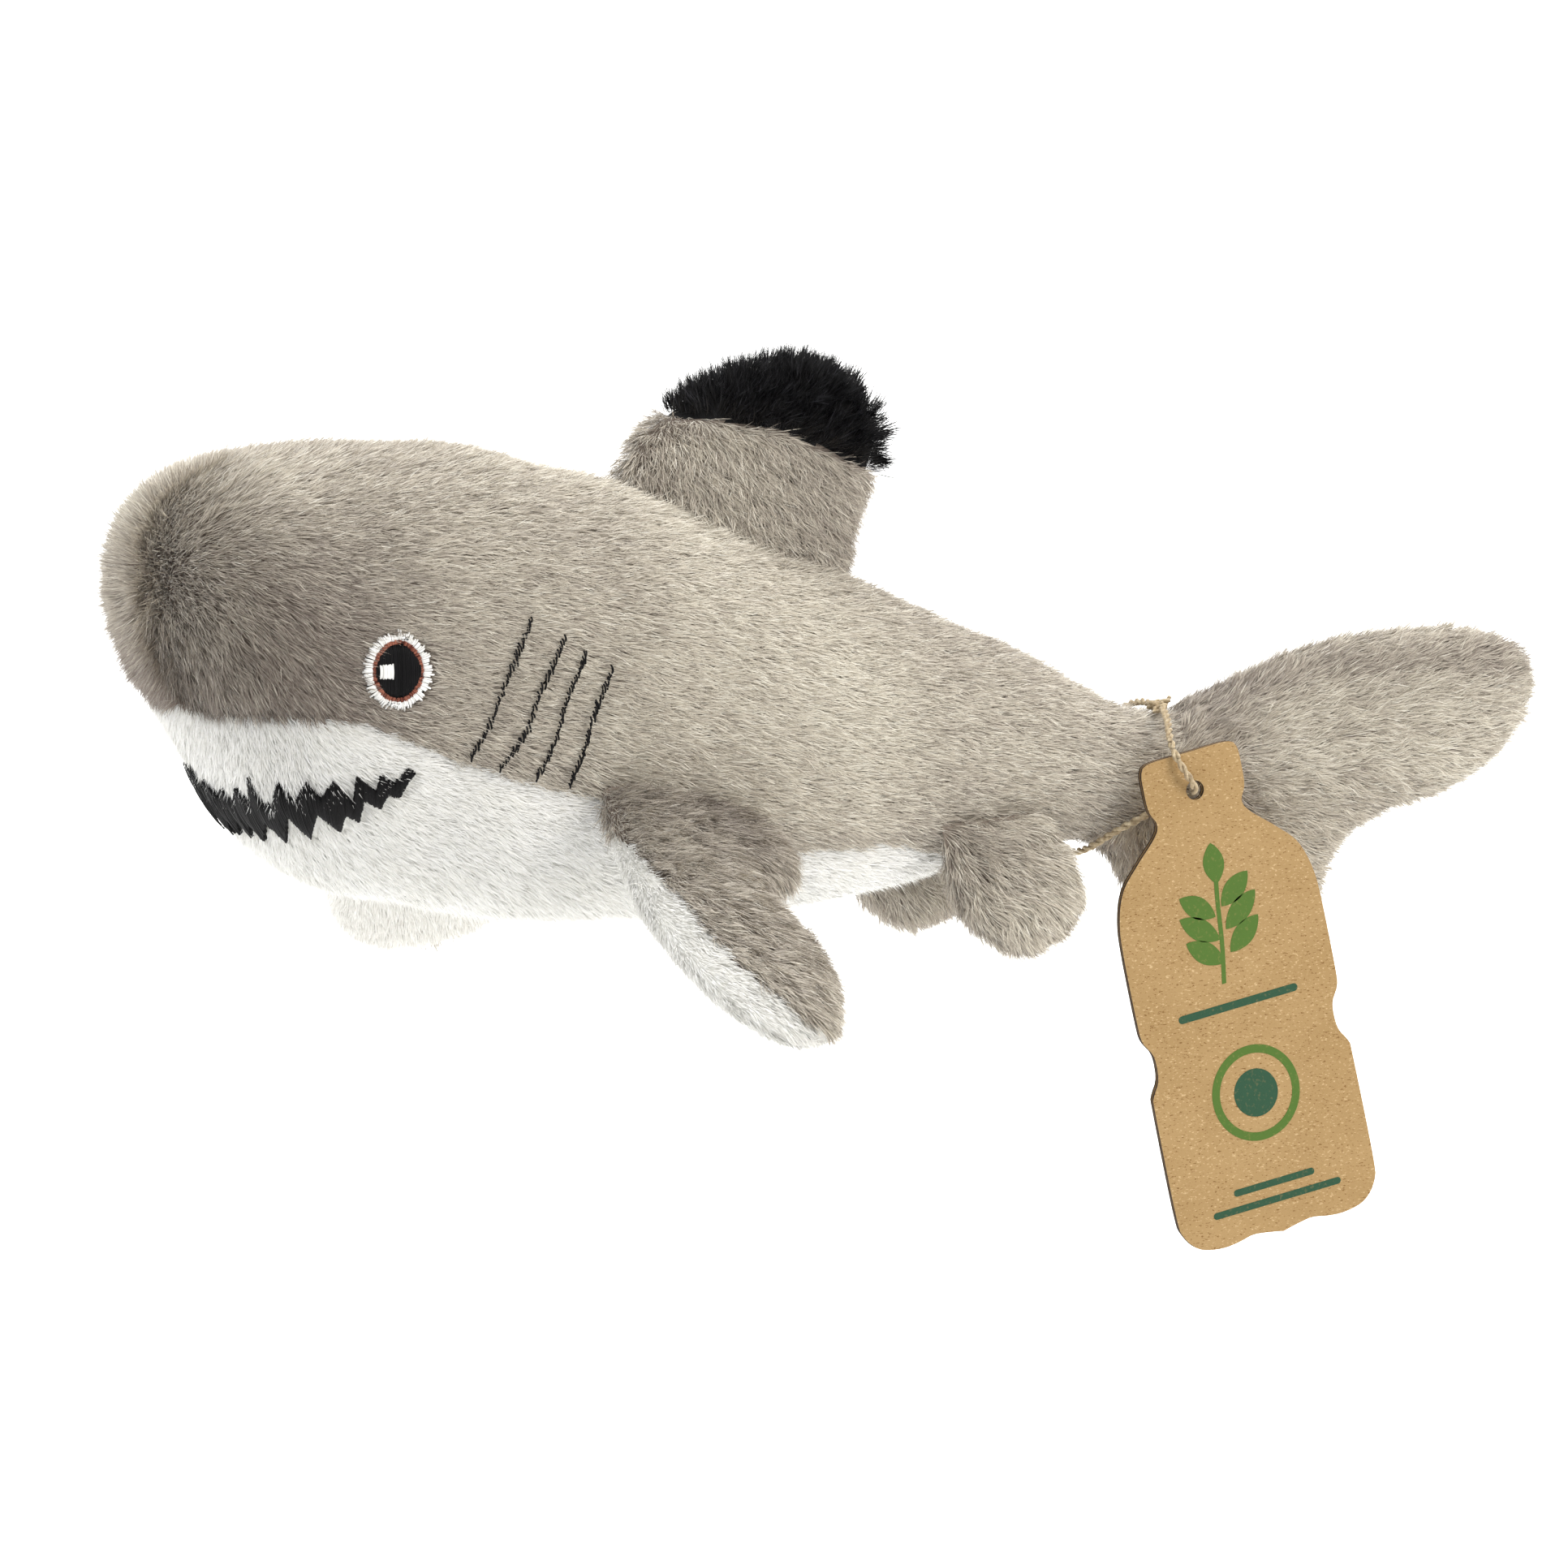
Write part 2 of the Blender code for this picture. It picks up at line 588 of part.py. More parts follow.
def build_dorsal(group):
    root = [DORSAL_FRONT_ROOT, DORSAL_REAR_ROOT]
    flat = patch(root, DORSAL_TIP, DORSAL_LEAD, DORSAL_TRAIL, DORSAL_ROWS, DORSAL_COLUMNS)
    half = pillow(flat, *DORSAL_HALVES)
    split = int(round(DORSAL_BLACK_FROM * (DORSAL_ROWS - 1)))
    inner = np.maximum(half - CLOTH, SEAM_GAP / 2)
    hinge = pivot("dorsal_pivot", (DORSAL_FRONT_ROOT[0], 0, DORSAL_FRONT_ROOT[1]), group)
    for side_name, side in SIDES.items():
        for part_name, slot, first, last in (
            ("panel", "grey_plush", 0, split),
            ("tip", "black_plush", split, DORSAL_ROWS - 1),
        ):
            grid = flat[first:last + 1].copy()
            thick, thin = half[first:last + 1], inner[first:last + 1]
            if slot == "black_plush":
                grid[0] += (grid[1] - grid[0]) * DORSAL_SEAM_SHARE
            mesh = upright(slab(stand(grid, thick), stand(grid, thin)), side)
            add_object(f"dorsal_{part_name}_{side_name}", mesh, slot, group, hinge)
    mesh = upright(filling(shrink(flat, DORSAL_CORE), least_near(half)), RIGHT)
    add_object("dorsal_stuffing", mesh, "fibre", group, hinge)


def build_tail(group, tail_front):
    flat = patch(TAIL_FRONT, TAIL_REAR, TAIL_BOTTOM, TAIL_TOP, TAIL_ROWS, TAIL_COLUMNS)
    u = np.linspace(0, 1, TAIL_ROWS)[:, None] * np.ones((1, TAIL_COLUMNS))
    half = crowned(np.interp(u, TAIL_HALF_AT, TAIL_HALF), TAIL_ROUND_FROM)
    inner = np.maximum(half - CLOTH, SEAM_GAP / 2)
    hinge = pivot("tail_pivot", (TAIL_HINGE_X, 0, TAIL_HINGE_Z), group)
    for side_name, side in SIDES.items():
        mesh = upright(slab(stand(flat, half), stand(flat, inner)), side)
        thing = add_object(f"tail_panel_{side_name}", mesh, "grey_plush", group, hinge)
        cut(thing, tail_front)
    mesh = upright(filling(flat[:-1, 1:-1], least_near(half)[:-1, 1:-1]), RIGHT)
    cut(add_object("tail_stuffing", mesh, "fibre", group, hinge), tail_front)


def socket_cutter(group):
    """The round hollow that the tail's front turns in."""
    shape = bmesh.new()
    radius = (SOCKET_RADIUS + SOCKET_GAP) * MM
    bmesh.ops.create_cone(
        shape, cap_ends=True, segments=SOCKET_SIDES, radius1=radius, radius2=radius, depth=SOCKET_TALL * MM
    )
    thing = bpy.data.objects.new("tail_socket_cutter", finish_mesh(shape))
    thing.location = Vector((TAIL_HINGE_X, 0, SOCKET_MIDDLE_Z)) * MM
    group.objects.link(thing)
    return as_cutter(thing)


def tail_front_cutter(group):
    """A block ahead of the hinge with a round hollow, which leaves the tail a round front."""
    angles = np.linspace(-pi / 2, pi / 2, BLOCK_SIDES)
    arc = [(-SOCKET_RADIUS * cos(a), SOCKET_RADIUS * sin(a)) for a in angles]
    corners = [(0.0, TAIL_BLOCK), (-TAIL_BLOCK, TAIL_BLOCK), (-TAIL_BLOCK, -TAIL_BLOCK), (0.0, -TAIL_BLOCK)]
    outline = arc + corners
    shape = bmesh.new()
    base = [shape.verts.new(Vector((TAIL_HINGE_X + x, y, TAIL_BLOCK_FLOOR_Z)) * MM) for x, y in outline]
    face = shape.faces.new(base)
    raised = bmesh.ops.extrude_face_region(shape, geom=[face])["geom"]
    top = [g for g in raised if isinstance(g, bmesh.types.BMVert)]
    bmesh.ops.translate(shape, verts=top, vec=Vector((0, 0, TAIL_BLOCK_TALL)) * MM)
    thing = bpy.data.objects.new("tail_front_cutter", finish_mesh(shape))
    group.objects.link(thing)
    return as_cutter(thing)


# ---------------------------------------------------------------- tag

def build_tag(group, cutters):
    """A bottle-shaped folded card with a punched hole, leaning as it hangs."""
    outline = CARD_HALF + [(-x, z) for x, z in reversed(CARD_HALF)]
    hole = [
        (CARD_HOLE_RADIUS * cos(a), CARD_HOLE_RADIUS * sin(a))
        for a in np.linspace(0, 2 * pi, HOLE_SIDES, endpoint=False)
    ]
    curve = bpy.data.curves.new("card_outline", "CURVE")
    curve.dimensions = "2D"
    curve.fill_mode = "BOTH"
    curve.extrude = CARD_THICK / 2 * MM
    for line in (outline, hole):
        spline = curve.splines.new("POLY")
        spline.use_cyclic_u = True
        spline.points.add(len(line) - 1)
        for target, (x, z) in zip(spline.points, line):
            target.co = (x * MM, z * MM, 0, 1)
    flat = bpy.data.objects.new("card_outline", curve)
    group.objects.link(flat)
    bpy.context.view_layer.update()
    depsgraph = bpy.context.evaluated_depsgraph_get()
    mesh = bpy.data.meshes.new_from_object(flat.evaluated_get(depsgraph))
    bpy.data.objects.remove(flat, do_unlink=True)
    weld = bmesh.new()
    weld.from_mesh(mesh)
    bmesh.ops.remove_doubles(weld, verts=weld.verts, dist=0.00001)
    weld.to_mesh(mesh)
    weld.free()
    card = add_object("swing_tag", mesh, "kraft_card", group, smooth=False)
    card.location = Vector(TAG_HOLE) * MM
    card.rotation_euler = (pi / 2, -radians(TAG_LEAN), 0)
    shape = bmesh.new()
    bmesh.ops.create_cube(shape, size=1.0)
    slot = bpy.data.objects.new("card_slot_cutter", finish_mesh(shape))
    bpy.context.view_layer.update()
    middle = Vector((CARD_FOLD_WIDTH, CARD_SLOT_MIDDLE, 0)) * MM
    slot.matrix_world = card.matrix_world @ Matrix.Translation(middle)
    slot.scale = Vector((CARD_SLOT_WIDE, CARD_SLOT_LONG, CARD_SLOT)) * MM
    cutters.objects.link(slot)
    cut(card, as_cutter(slot))


def build_twine(group):
    """The twine: from its knot round the narrow of the tail and back, through the card's hole."""
    curve_mesh("tag_twine", smooth_line(TWINE_PATH, TWINE_POINTS), TWINE, "jute", group, 2)
    shape = bmesh.new()
    bmesh.ops.create_uvsphere(shape, u_segments=12, v_segments=8, radius=KNOT_RADIUS * MM)
    knot = add_object("twine_knot", finish_mesh(shape), "jute", group)
    knot.location = (Vector(TWINE_PATH[0]) + Vector(TWINE_PATH[-1])) / 2 * MM


def build():
    clear_scene()
    parts = new_collection("plush_shark")
    cutters = new_collection("cutters")
    socket = socket_cutter(cutters)
    build_trunk(parts, socket)
    tree = trunk_tree()
    for side_name, side in SIDES.items():
        build_eye(f"embroidered_eye_{side_name}", tree, side, parts)
        build_gills(tree, side_name, side, parts)
    build_mouth(tree, parts)
    build_dorsal(parts)
    build_side_fins(
        "pectoral", (PECTORAL_LEAD, PECTORAL_TRAIL, PECTORAL_TIP), PECTORAL_HALVES,
        (PECTORAL_ROOT_FRONT, PECTORAL_ROOT_REAR, PECTORAL_REACH),
        ("grey_plush", "white_plush", "fibre"), parts,
    )
    build_side_fins(
        "pelvic", (PELVIC_LEAD, PELVIC_TRAIL, PELVIC_TIP), PELVIC_HALVES,
        (PELVIC_ROOT_FRONT, PELVIC_ROOT_REAR, PELVIC_REACH),
        ("grey_plush", "grey_plush", "fibre"), parts,
    )
    build_tail(parts, tail_front_cutter(cutters))
    build_tag(parts, cutters)
    build_twine(parts)


build()
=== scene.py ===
"""A plush shark: grey and white pile cloth over fibre filling, satin-stitched eyes, gills and mouth,
sewn fins that bend at their roots, and a folded kraft tag on jute twine.

Lengths are in millimetres while shapes are worked out, and metres in the meshes.
The nose points to -X, the back to +Z, and the shark's own left is -Y.
"""

import json
from math import cos, pi, radians, sin

import bmesh
import bpy
import numpy as np
from mathutils import Matrix, Vector


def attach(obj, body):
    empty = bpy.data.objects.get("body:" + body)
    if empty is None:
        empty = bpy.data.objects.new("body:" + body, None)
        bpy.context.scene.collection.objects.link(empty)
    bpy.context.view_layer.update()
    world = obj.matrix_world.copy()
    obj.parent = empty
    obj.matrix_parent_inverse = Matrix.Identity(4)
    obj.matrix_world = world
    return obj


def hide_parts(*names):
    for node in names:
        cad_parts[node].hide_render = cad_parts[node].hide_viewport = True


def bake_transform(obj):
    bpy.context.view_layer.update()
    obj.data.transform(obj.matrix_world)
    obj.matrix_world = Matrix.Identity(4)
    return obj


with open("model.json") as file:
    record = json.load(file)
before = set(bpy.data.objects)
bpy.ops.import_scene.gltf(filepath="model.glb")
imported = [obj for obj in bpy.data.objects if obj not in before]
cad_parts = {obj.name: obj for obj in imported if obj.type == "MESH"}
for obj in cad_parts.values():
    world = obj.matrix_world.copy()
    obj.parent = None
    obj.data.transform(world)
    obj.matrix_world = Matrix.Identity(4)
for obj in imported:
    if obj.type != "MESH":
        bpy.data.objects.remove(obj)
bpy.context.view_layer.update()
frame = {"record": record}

MM = 0.001
JOINTS = {joint["name"]: joint for joint in frame["record"]["behaviour"]["joints"]}

# Trunk sections from nose to the narrow of the tail: place along X, underside, back, half width
TRUNK_SECTIONS = [
    (-108, 64, 64, 0), (-107, 56.5, 73.5, 11.5), (-103, 48, 81, 20.5),
    (-97, 38.4, 85.3, 26.5), (-90, 26.6, 88.1, 30.2), (-82, 14.4, 89.4, 32.6),
    (-70, 7.6, 89.9, 34), (-56, 4.6, 89.3, 34.8), (-42, 1.6, 87.8, 35),
    (-28, -0.8, 84.6, 34.4), (-12, -1.8, 80.3, 33), (4, -1.8, 74.5, 30.8),
    (20, -1, 67.7, 28), (36, 1.2, 60.8, 24.6), (52, 4.3, 54.2, 20.8),
    (66, 7.4, 48.2, 17.2), (80, 9.8, 41.3, 14.2), (92, 11.4, 34.6, 11.8),
    (102, 13, 32, 9.6), (112, 16, 32, 6.5),
]
SECTION_POWER = 2.25
WIDEST = 0.47           # share of a section's height at which it is widest
FLAT_Z = 0.4            # height of the flat under the belly
NOSE_X, STOCK_END_X = TRUNK_SECTIONS[0][0], TRUNK_SECTIONS[-1][0]

# Height of the seam between grey and white cloth
COLOUR_SEAM = np.array([
    (-110, 42), (-95, 43.6), (-83, 42.6), (-76, 41.2), (-68, 37.8), (-59, 33.8),
    (-46, 29.6), (-30, 25.4), (-10, 17), (11, 12.6), (40, 12), (52, 9), (62, 2),
    (120, 2),
])

LEFT, RIGHT = -1, 1     # also the sign of Y on each side
SIDE_NAMES = {LEFT: "left", RIGHT: "right"}


def new_object(name, data):
    thing = bpy.data.objects.new(name, data)
    bpy.context.scene.collection.objects.link(thing)
    return thing


# ---- Lines and surfaces

def smooth_line(points, share):
    """Catmull-Rom curve through the points, read at shares (0 to 1) of its length."""
    given = np.array(points, float)
    padded = np.vstack([2 * given[0] - given[1], given, 2 * given[-1] - given[-2]])
    step = np.linspace(0, len(given) - 1, 16 * len(given) + 1)
    piece = np.minimum(step.astype(int), len(given) - 2)
    t = (step - piece)[:, None]
    a, b, c, d = (padded[piece + k] for k in range(4))
    curve = 0.5 * (2 * b + (c - a) * t + (2 * a - 5 * b + 4 * c - d) * t**2 + (3 * b - a - 3 * c + d) * t**3)
    run = np.concatenate([[0], np.cumsum(np.linalg.norm(np.diff(curve, axis=0), axis=1))])
    wanted = np.asarray(share, float) * run[-1]
    return np.stack([np.interp(wanted, run, column) for column in curve.T], axis=-1)


SECTION_LINE = smooth_line(TRUNK_SECTIONS, np.linspace(0, 1, 400))


def section(x):
    """Underside, middle, back and half width of the trunk at x."""
    low, high, half = (np.interp(x, SECTION_LINE[:, 0], SECTION_LINE[:, k]) for k in (1, 2, 3))
    return low, low + WIDEST * (high - low), high, half


def unit(v):
    return v / np.maximum(np.linalg.norm(v, axis=-1, keepdims=True), 1e-12)


def trunk_point(x, turn):
    """Superellipse section: y = half cos^p, z = middle + reach sin^p, kept above the flat belly."""
    low, middle, high, half = section(x)
    up, side = np.sin(turn), np.cos(turn)
    reach = np.where(up > 0, high - middle, middle - low)
    power = 2 / SECTION_POWER
    y = half * np.sign(side) * np.abs(side) ** power
    z = middle + reach * np.sign(up) * np.abs(up) ** power
    return np.stack([x + 0 * y, y, np.maximum(z, FLAT_Z)], axis=-1)


def trunk_depth(p):
    """Below 0 inside the trunk and above 0 outside: |y/half|^n + |(z-middle)/reach|^n - 1."""
    low, middle, high, half = section(p[..., 0])
    reach = np.where(p[..., 2] > middle, high - middle, middle - low)
    ends = (p[..., 0] < NOSE_X) | (p[..., 0] > STOCK_END_X)
    flat = (np.abs(p[..., 1]) / np.maximum(half, 0.01)) ** SECTION_POWER
    tall = (np.abs(p[..., 2] - middle) / np.maximum(reach, 0.01)) ** SECTION_POWER
    return np.where(ends, 9.0, flat + tall - 1)


def trunk_normal(p):
    """Slope of the depth by small steps along X, Y and Z."""
    step = 0.05
    slopes = []
    for axis in np.eye(3) * step:
        slopes.append(trunk_depth(p + axis) - trunk_depth(p - axis))
    return unit(np.stack(slopes, axis=-1))


def cast(inside, way):
    """Where a line from a point inside the trunk leaves it, by halving the stretch 24 times."""
    near, far = np.zeros(way.shape[:-1]), np.full(way.shape[:-1], 90.0)
    for _ in range(24):
        middle = (near + far) / 2
        out = trunk_depth(inside + way * middle[..., None]) > 0
        near, far = np.where(out, near, middle), np.where(out, middle, far)
    return inside + way * near[..., None]


def side_place(x, z, side):
    """Points on the trunk's side at x and z."""
    inside = np.stack([x, 0 * x, z], axis=-1)
    return cast(inside, np.broadcast_to(np.array([0.0, side, 0.0]), inside.shape))


def grid_mesh(name, grid, close_columns=False, fans=()):
    """A mesh over a grid of points; columns may close on themselves, and fans close the first or last row."""
    rows, columns = grid.shape[:2]
    points = grid.reshape(-1, 3)
    i = np.arange(rows - 1)[:, None]
    j = np.arange(columns if close_columns else columns - 1)[None, :]
    k = (j + 1) % columns
    faces = np.stack([i * columns + j, i * columns + k, (i + 1) * columns + k, (i + 1) * columns + j], axis=-1)
    faces = faces.reshape(-1, 4).tolist()
    around = np.arange(columns)
    after = (around + 1) % columns
    for row in fans:
        start = row * columns
        centre = np.full(columns, len(points))
        points = np.vstack([points, grid[row].mean(axis=0)])
        fan = [start + after, start + around, centre] if row == 0 else [start + around, start + after, centre]
        faces += np.stack(fan, axis=-1).tolist()
    mesh = bpy.data.meshes.new(name)
    mesh.from_pydata((points * MM).tolist(), [], faces)
    mesh.shade_smooth()
    return new_object(name, mesh)


def point_values(mesh, name, values):
    mesh.attributes.new(name, "FLOAT", "POINT").data.foreach_set("value", np.asarray(values, np.float32))


def outward(thing, weld=False):
    """Turns the faces of a closed piece outwards; weld first joins points that coincide."""
    work = bmesh.new()
    work.from_mesh(thing.data)
    if weld:
        bmesh.ops.remove_doubles(work, verts=work.verts, dist=0.002 * MM)
        bmesh.ops.dissolve_degenerate(work, edges=work.edges, dist=0.001 * MM)
    bmesh.ops.recalc_face_normals(work, faces=work.faces)
    work.to_mesh(thing.data)
    work.free()
    return thing


def bell(value, centre, width):
    """1 at the centre and 1/e a width away: exp(-((value - centre) / width)^2)."""
    return np.exp(-((value - centre) / width) ** 2)


# ---- Materials

def colour(code):
    """sRGB hex to linear, with alpha 1."""
    parts = [int(code[k:k + 2], 16) / 255 for k in (1, 3, 5)]
    return (*[c / 12.92 if c <= 0.04045 else ((c + 0.055) / 1.055) ** 2.4 for c in parts], 1.0)


def add(tree, kind, links=(), **settings):
    """Adds a node, sets its properties or sockets by name, and links (socket, output) pairs."""
    node = tree.nodes.new(kind)
    for key, value in settings.items():
        if hasattr(node, key):
            setattr(node, key, value)
        else:
            node.inputs[key.replace("_", " ")].default_value = value
    for socket, output in links:
        tree.links.new(output, node.inputs[socket])
    return node


def ramp(tree, factor, stops):
    """Output of a colour ramp through (place, hex) stops."""
    node = add(tree, "ShaderNodeValToRGB", [("Fac", factor)])
    while len(node.color_ramp.elements) < len(stops):
        node.color_ramp.elements.new(0.5)
    for element, (place, code) in zip(node.color_ramp.elements, stops):
        element.position = place
        element.color = colour(code)
    return node.outputs["Color"]


COLOUR_A, COLOUR_B, COLOUR_RESULT = 6, 7, 2     # sockets of a Mix node that mixes colours


def mixed(tree, factor, first, second):
    """Output of a colour mix; each of the two colours is a socket or a hex code."""
    node = add(tree, "ShaderNodeMix", [("Factor", factor)], data_type="RGBA")
    for socket, source in ((COLOUR_A, first), (COLOUR_B, second)):
        if isinstance(source, str):
            node.inputs[socket].default_value = colour(source)
        else:
            tree.links.new(source, node.inputs[socket])
    return node.outputs[COLOUR_RESULT]


def noise(tree, vector, scale, detail):
    return add(tree, "ShaderNodeTexNoise", [("Vector", vector)], Scale=scale, Detail=detail).outputs["Fac"]


def own_place(tree):
    """Position in the piece's own space, in metres."""
    return add(tree, "ShaderNodeTexCoord").outputs["Object"]


def new_material(name, roughness, sheen=0.0, specular=0.5):
    """A Principled material with its plain values set on the shader."""
    made = bpy.data.materials.new(name)
    made.use_nodes = True
    shader = made.node_tree.nodes["Principled BSDF"]
    shader.inputs["Roughness"].default_value = roughness
    shader.inputs["Specular IOR Level"].default_value = specular
    shader.inputs["Sheen Weight"].default_value = sheen
    shader.inputs["Sheen Roughness"].default_value = 0.4
    return made, made.node_tree, shader


def pile_material(name, roots, tips, roughness=0.42, sheen=0.3, specular=0.45):
    """Polyester pile: each hair has its own tone, dark at the root and light at the tip, as painted shade deep in
    the pile and painted sheen on the tips.
    """
    made, tree, shader = new_material(name, roughness, sheen, specular)
    tone = add(tree, "ShaderNodeAttribute", attribute_name="tone")
    along = add(tree, "ShaderNodeAttribute", attribute_name="along")
    dark, light = ramp(tree, tone.outputs["Fac"], roots), ramp(tree, tone.outputs["Fac"], tips)
    tree.links.new(mixed(tree, along.outputs["Fac"], dark, light), shader.inputs["Base Color"])
    return made


def mottled_material(name, scale, detail, stops, roughness, sheen=0.0, specular=0.5):
    """Base colour from a ramp over fine noise, with scale in waves to a metre."""
    made, tree, shader = new_material(name, roughness, sheen, specular)
    tree.links.new(ramp(tree, noise(tree, own_place(tree), scale, detail), stops), shader.inputs["Base Color"])
    return made


def backing_material(name, dark, light):
    """Knitted backing under the pile: a fine mottle, 0.8 mm across, seen only where the pile parts."""
    return mottled_material(name, 1200.0, 3.0, [(0.3, dark), (0.7, light)], roughness=0.9)


def thread_material(name, dark, light):
    """Trilobal polyester embroidery thread: a silky highlight along each stitch, tone changes by stitch."""
    made, tree, shader = new_material(name, roughness=0.55, specular=0.18)
    tone = add(tree, "ShaderNodeAttribute", attribute_name="tone")
    tree.links.new(ramp(tree, tone.outputs["Fac"], [(0.0, dark), (1.0, light)]), shader.inputs["Base Color"])
    return made


def kraft_material():
    """Recycled kraft board: warm brown with short pale and dark fibres, about 1 mm long, and no gloss."""
    made, tree, shader = new_material("kraft board", roughness=0.85, specular=0.3)
    place = own_place(tree)
    cloud = noise(tree, place, scale=90.0, detail=4.0)
    base = ramp(tree, cloud, [(0.25, "#9f8257"), (0.5, "#a4875c"), (0.75, "#a98c61")])
    stretch = add(tree, "ShaderNodeMapping", [("Vector", place)], Scale=(1500.0, 1500.0, 3800.0))
    fleck = noise(tree, stretch.outputs["Vector"], scale=1.0, detail=2.0)
    pale = ramp(tree, fleck, [(0.62, "#000000"), (0.70, "#ffffff")])
    dark = ramp(tree, fleck, [(0.31, "#ffffff"), (0.37, "#000000")])
    flecked = mixed(tree, dark, mixed(tree, pale, base, "#c4a97f"), "#7d5c36")
    tree.links.new(flecked, shader.inputs["Base Color"])
    bump = add(tree, "ShaderNodeBump", [("Height", cloud)], Strength=0.25, Distance=0.0004)
    tree.links.new(bump.outputs["Normal"], shader.inputs["Normal"])
    return made


def print_material(name, code):
    """Matt offset ink soaked into board: a flat tint, a little worn where the board is rough."""
    made, tree, shader = new_material(name, roughness=0.8, specular=0.3)
    rough = noise(tree, own_place(tree), scale=1500.0, detail=3.0)
    worn = ramp(tree, rough, [(0.58, "#000000"), (0.75, "#6a6a6a")])
    tree.links.new(mixed(tree, worn, code, "#c69f6b"), shader.inputs["Base Color"])
    return made


def jute_material():
    """Jute twine: dry, hairy bast fibre, straw to tan along the ply, no gloss."""
    stops = [(0.25, "#85725a"), (0.5, "#b09e80"), (0.75, "#d6c8aa")]
    return mottled_material("jute twine", 1400.0, 4.0, stops, roughness=0.85, sheen=0.2, specular=0.3)


# Pile colours by tone, at the root and at the tip: the darker roots are painted shade deep in the pile, and the
# palest grey and black tip stops are painted glints.
GREY_ROOTS = [(0.0, "#62564e"), (0.25, "#80746b"), (0.6, "#a79d92"), (1.0, "#c4bcaf")]
GREY_TIPS = [(0.0, "#8d8178"), (0.25, "#aca297"), (0.6, "#d6cebf"), (0.85, "#ece6d6"), (1.0, "#fffcf0")]
WHITE_ROOTS = [(0.0, "#cfccc5"), (0.35, "#e6e4de"), (0.7, "#f4f3ef"), (1.0, "#fafaf7")]
WHITE_TIPS = [(0.0, "#dedbd4"), (0.35, "#f2f1ec"), (0.7, "#fcfcf9"), (1.0, "#ffffff")]
BLACK_ROOTS = [(0.0, "#040405"), (1.0, "#0a0a0b")]
BLACK_TIPS = [(0.0, "#0a0a0c"), (0.7, "#1a1a1d"), (1.0, "#4c4c52")]

PILE = {
    "grey": pile_material("grey polyester pile", GREY_ROOTS, GREY_TIPS, 0.36, specular=0.5),
    "white": pile_material("white polyester pile", WHITE_ROOTS, WHITE_TIPS),
    "black": pile_material("black polyester pile", BLACK_ROOTS, BLACK_TIPS, 0.45, sheen=0.0, specular=0.3),
}
BACKING = {
    "grey": backing_material("grey knitted backing", "#756960", "#92877c"),
    "white": backing_material("white knitted backing", "#e6e6e1", "#f4f4f0"),
    "black": backing_material("black knitted backing", "#08080a", "#111113"),
}
THREAD = {
    "black": thread_material("black embroidery thread", "#030304", "#100f12"),
    "white": thread_material("white embroidery thread", "#d9d9d6", "#ffffff"),
    "brown": thread_material("rust embroidery thread", "#5a2a20", "#9f6552"),
}


# ---- Camera and stage

AZIMUTH, ELEVATION = radians(-25.0), radians(6.0)
FIELD_WIDTH = 295.0     # millimetres across the picture where the shark is
DISTANCE = 6000.0
SENSOR_WIDTH = 36.0
AIM_RIGHT, AIM_UP = 23.0, 23.2  # from the origin, along the camera's own axes


def build_camera():
    back = Vector((sin(AZIMUTH) * cos(ELEVATION), -cos(AZIMUTH) * cos(ELEVATION), sin(ELEVATION)))
    right = Vector((cos(AZIMUTH), sin(AZIMUTH), 0))
    up = back.cross(right)
    centre = right * AIM_RIGHT + up * AIM_UP
    camera = new_object("camera", bpy.data.cameras.new("camera"))
    camera.matrix_world = Matrix.Translation((centre + back * DISTANCE) * MM) @ Matrix(
        (right, up, back)
    ).transposed().to_4x4()
    camera.data.sensor_width = SENSOR_WIDTH
    camera.data.lens = SENSOR_WIDTH * DISTANCE / FIELD_WIDTH
    camera.data.clip_start = 0.05
    camera.data.clip_end = 20.0
    bpy.context.scene.camera = camera


def area_light(name, place, aim, size, power, tint="#ffffff"):
    """A square light; place, aim and size in metres, power in watts."""
    light = bpy.data.lights.new(name, "AREA")
    light.size = size
    light.energy = power
    light.color = colour(tint)[:3]
    thing = new_object(name, light)
    thing.location = place
    thing.rotation_euler = (Vector(aim) - Vector(place)).to_track_quat("-Z", "Y").to_euler()


def build_stage():
    """A pale floor that curves up into a backdrop, one profile carried sideways; clear from its back."""
    floor_z, half, bend_from, bend = -260.0, 4000.0, 1600.0, 900.0
    curve = [(bend_from + bend * sin(t), floor_z + bend * (1 - cos(t))) for t in np.linspace(0, pi / 2, 13)]
    profile = np.array([(-2 * half, floor_z), *curve, (bend_from + bend, floor_z + half)])
    away = np.array([-sin(AZIMUTH), cos(AZIMUTH)])
    across = np.array([cos(AZIMUTH), sin(AZIMUTH)])
    rows = []
    for side in (-half, half):
        flat = profile[:, :1] * away + side * across
        rows.append(np.column_stack([flat, profile[:, 1]]))
    stage = grid_mesh("floor", np.array(rows).transpose(1, 0, 2))
    made, tree, shader = new_material("matt white paper", roughness=0.9, specular=0.1)
    shader.inputs["Base Color"].default_value = colour("#f7f7f6")
    side = add(tree, "ShaderNodeNewGeometry")
    clear = add(tree, "ShaderNodeBsdfTransparent")
    seen = add(tree, "ShaderNodeMixShader", [("Fac", side.outputs["Backfacing"])])
    tree.links.new(shader.outputs["BSDF"], seen.inputs[1])
    tree.links.new(clear.outputs["BSDF"], seen.inputs[2])
    tree.links.new(seen.outputs["Shader"], tree.nodes["Material Output"].inputs["Surface"])
    if stage.data.polygons[0].normal.z < 0:
        stage.data.flip_normals()
    stage.data.materials.append(made)


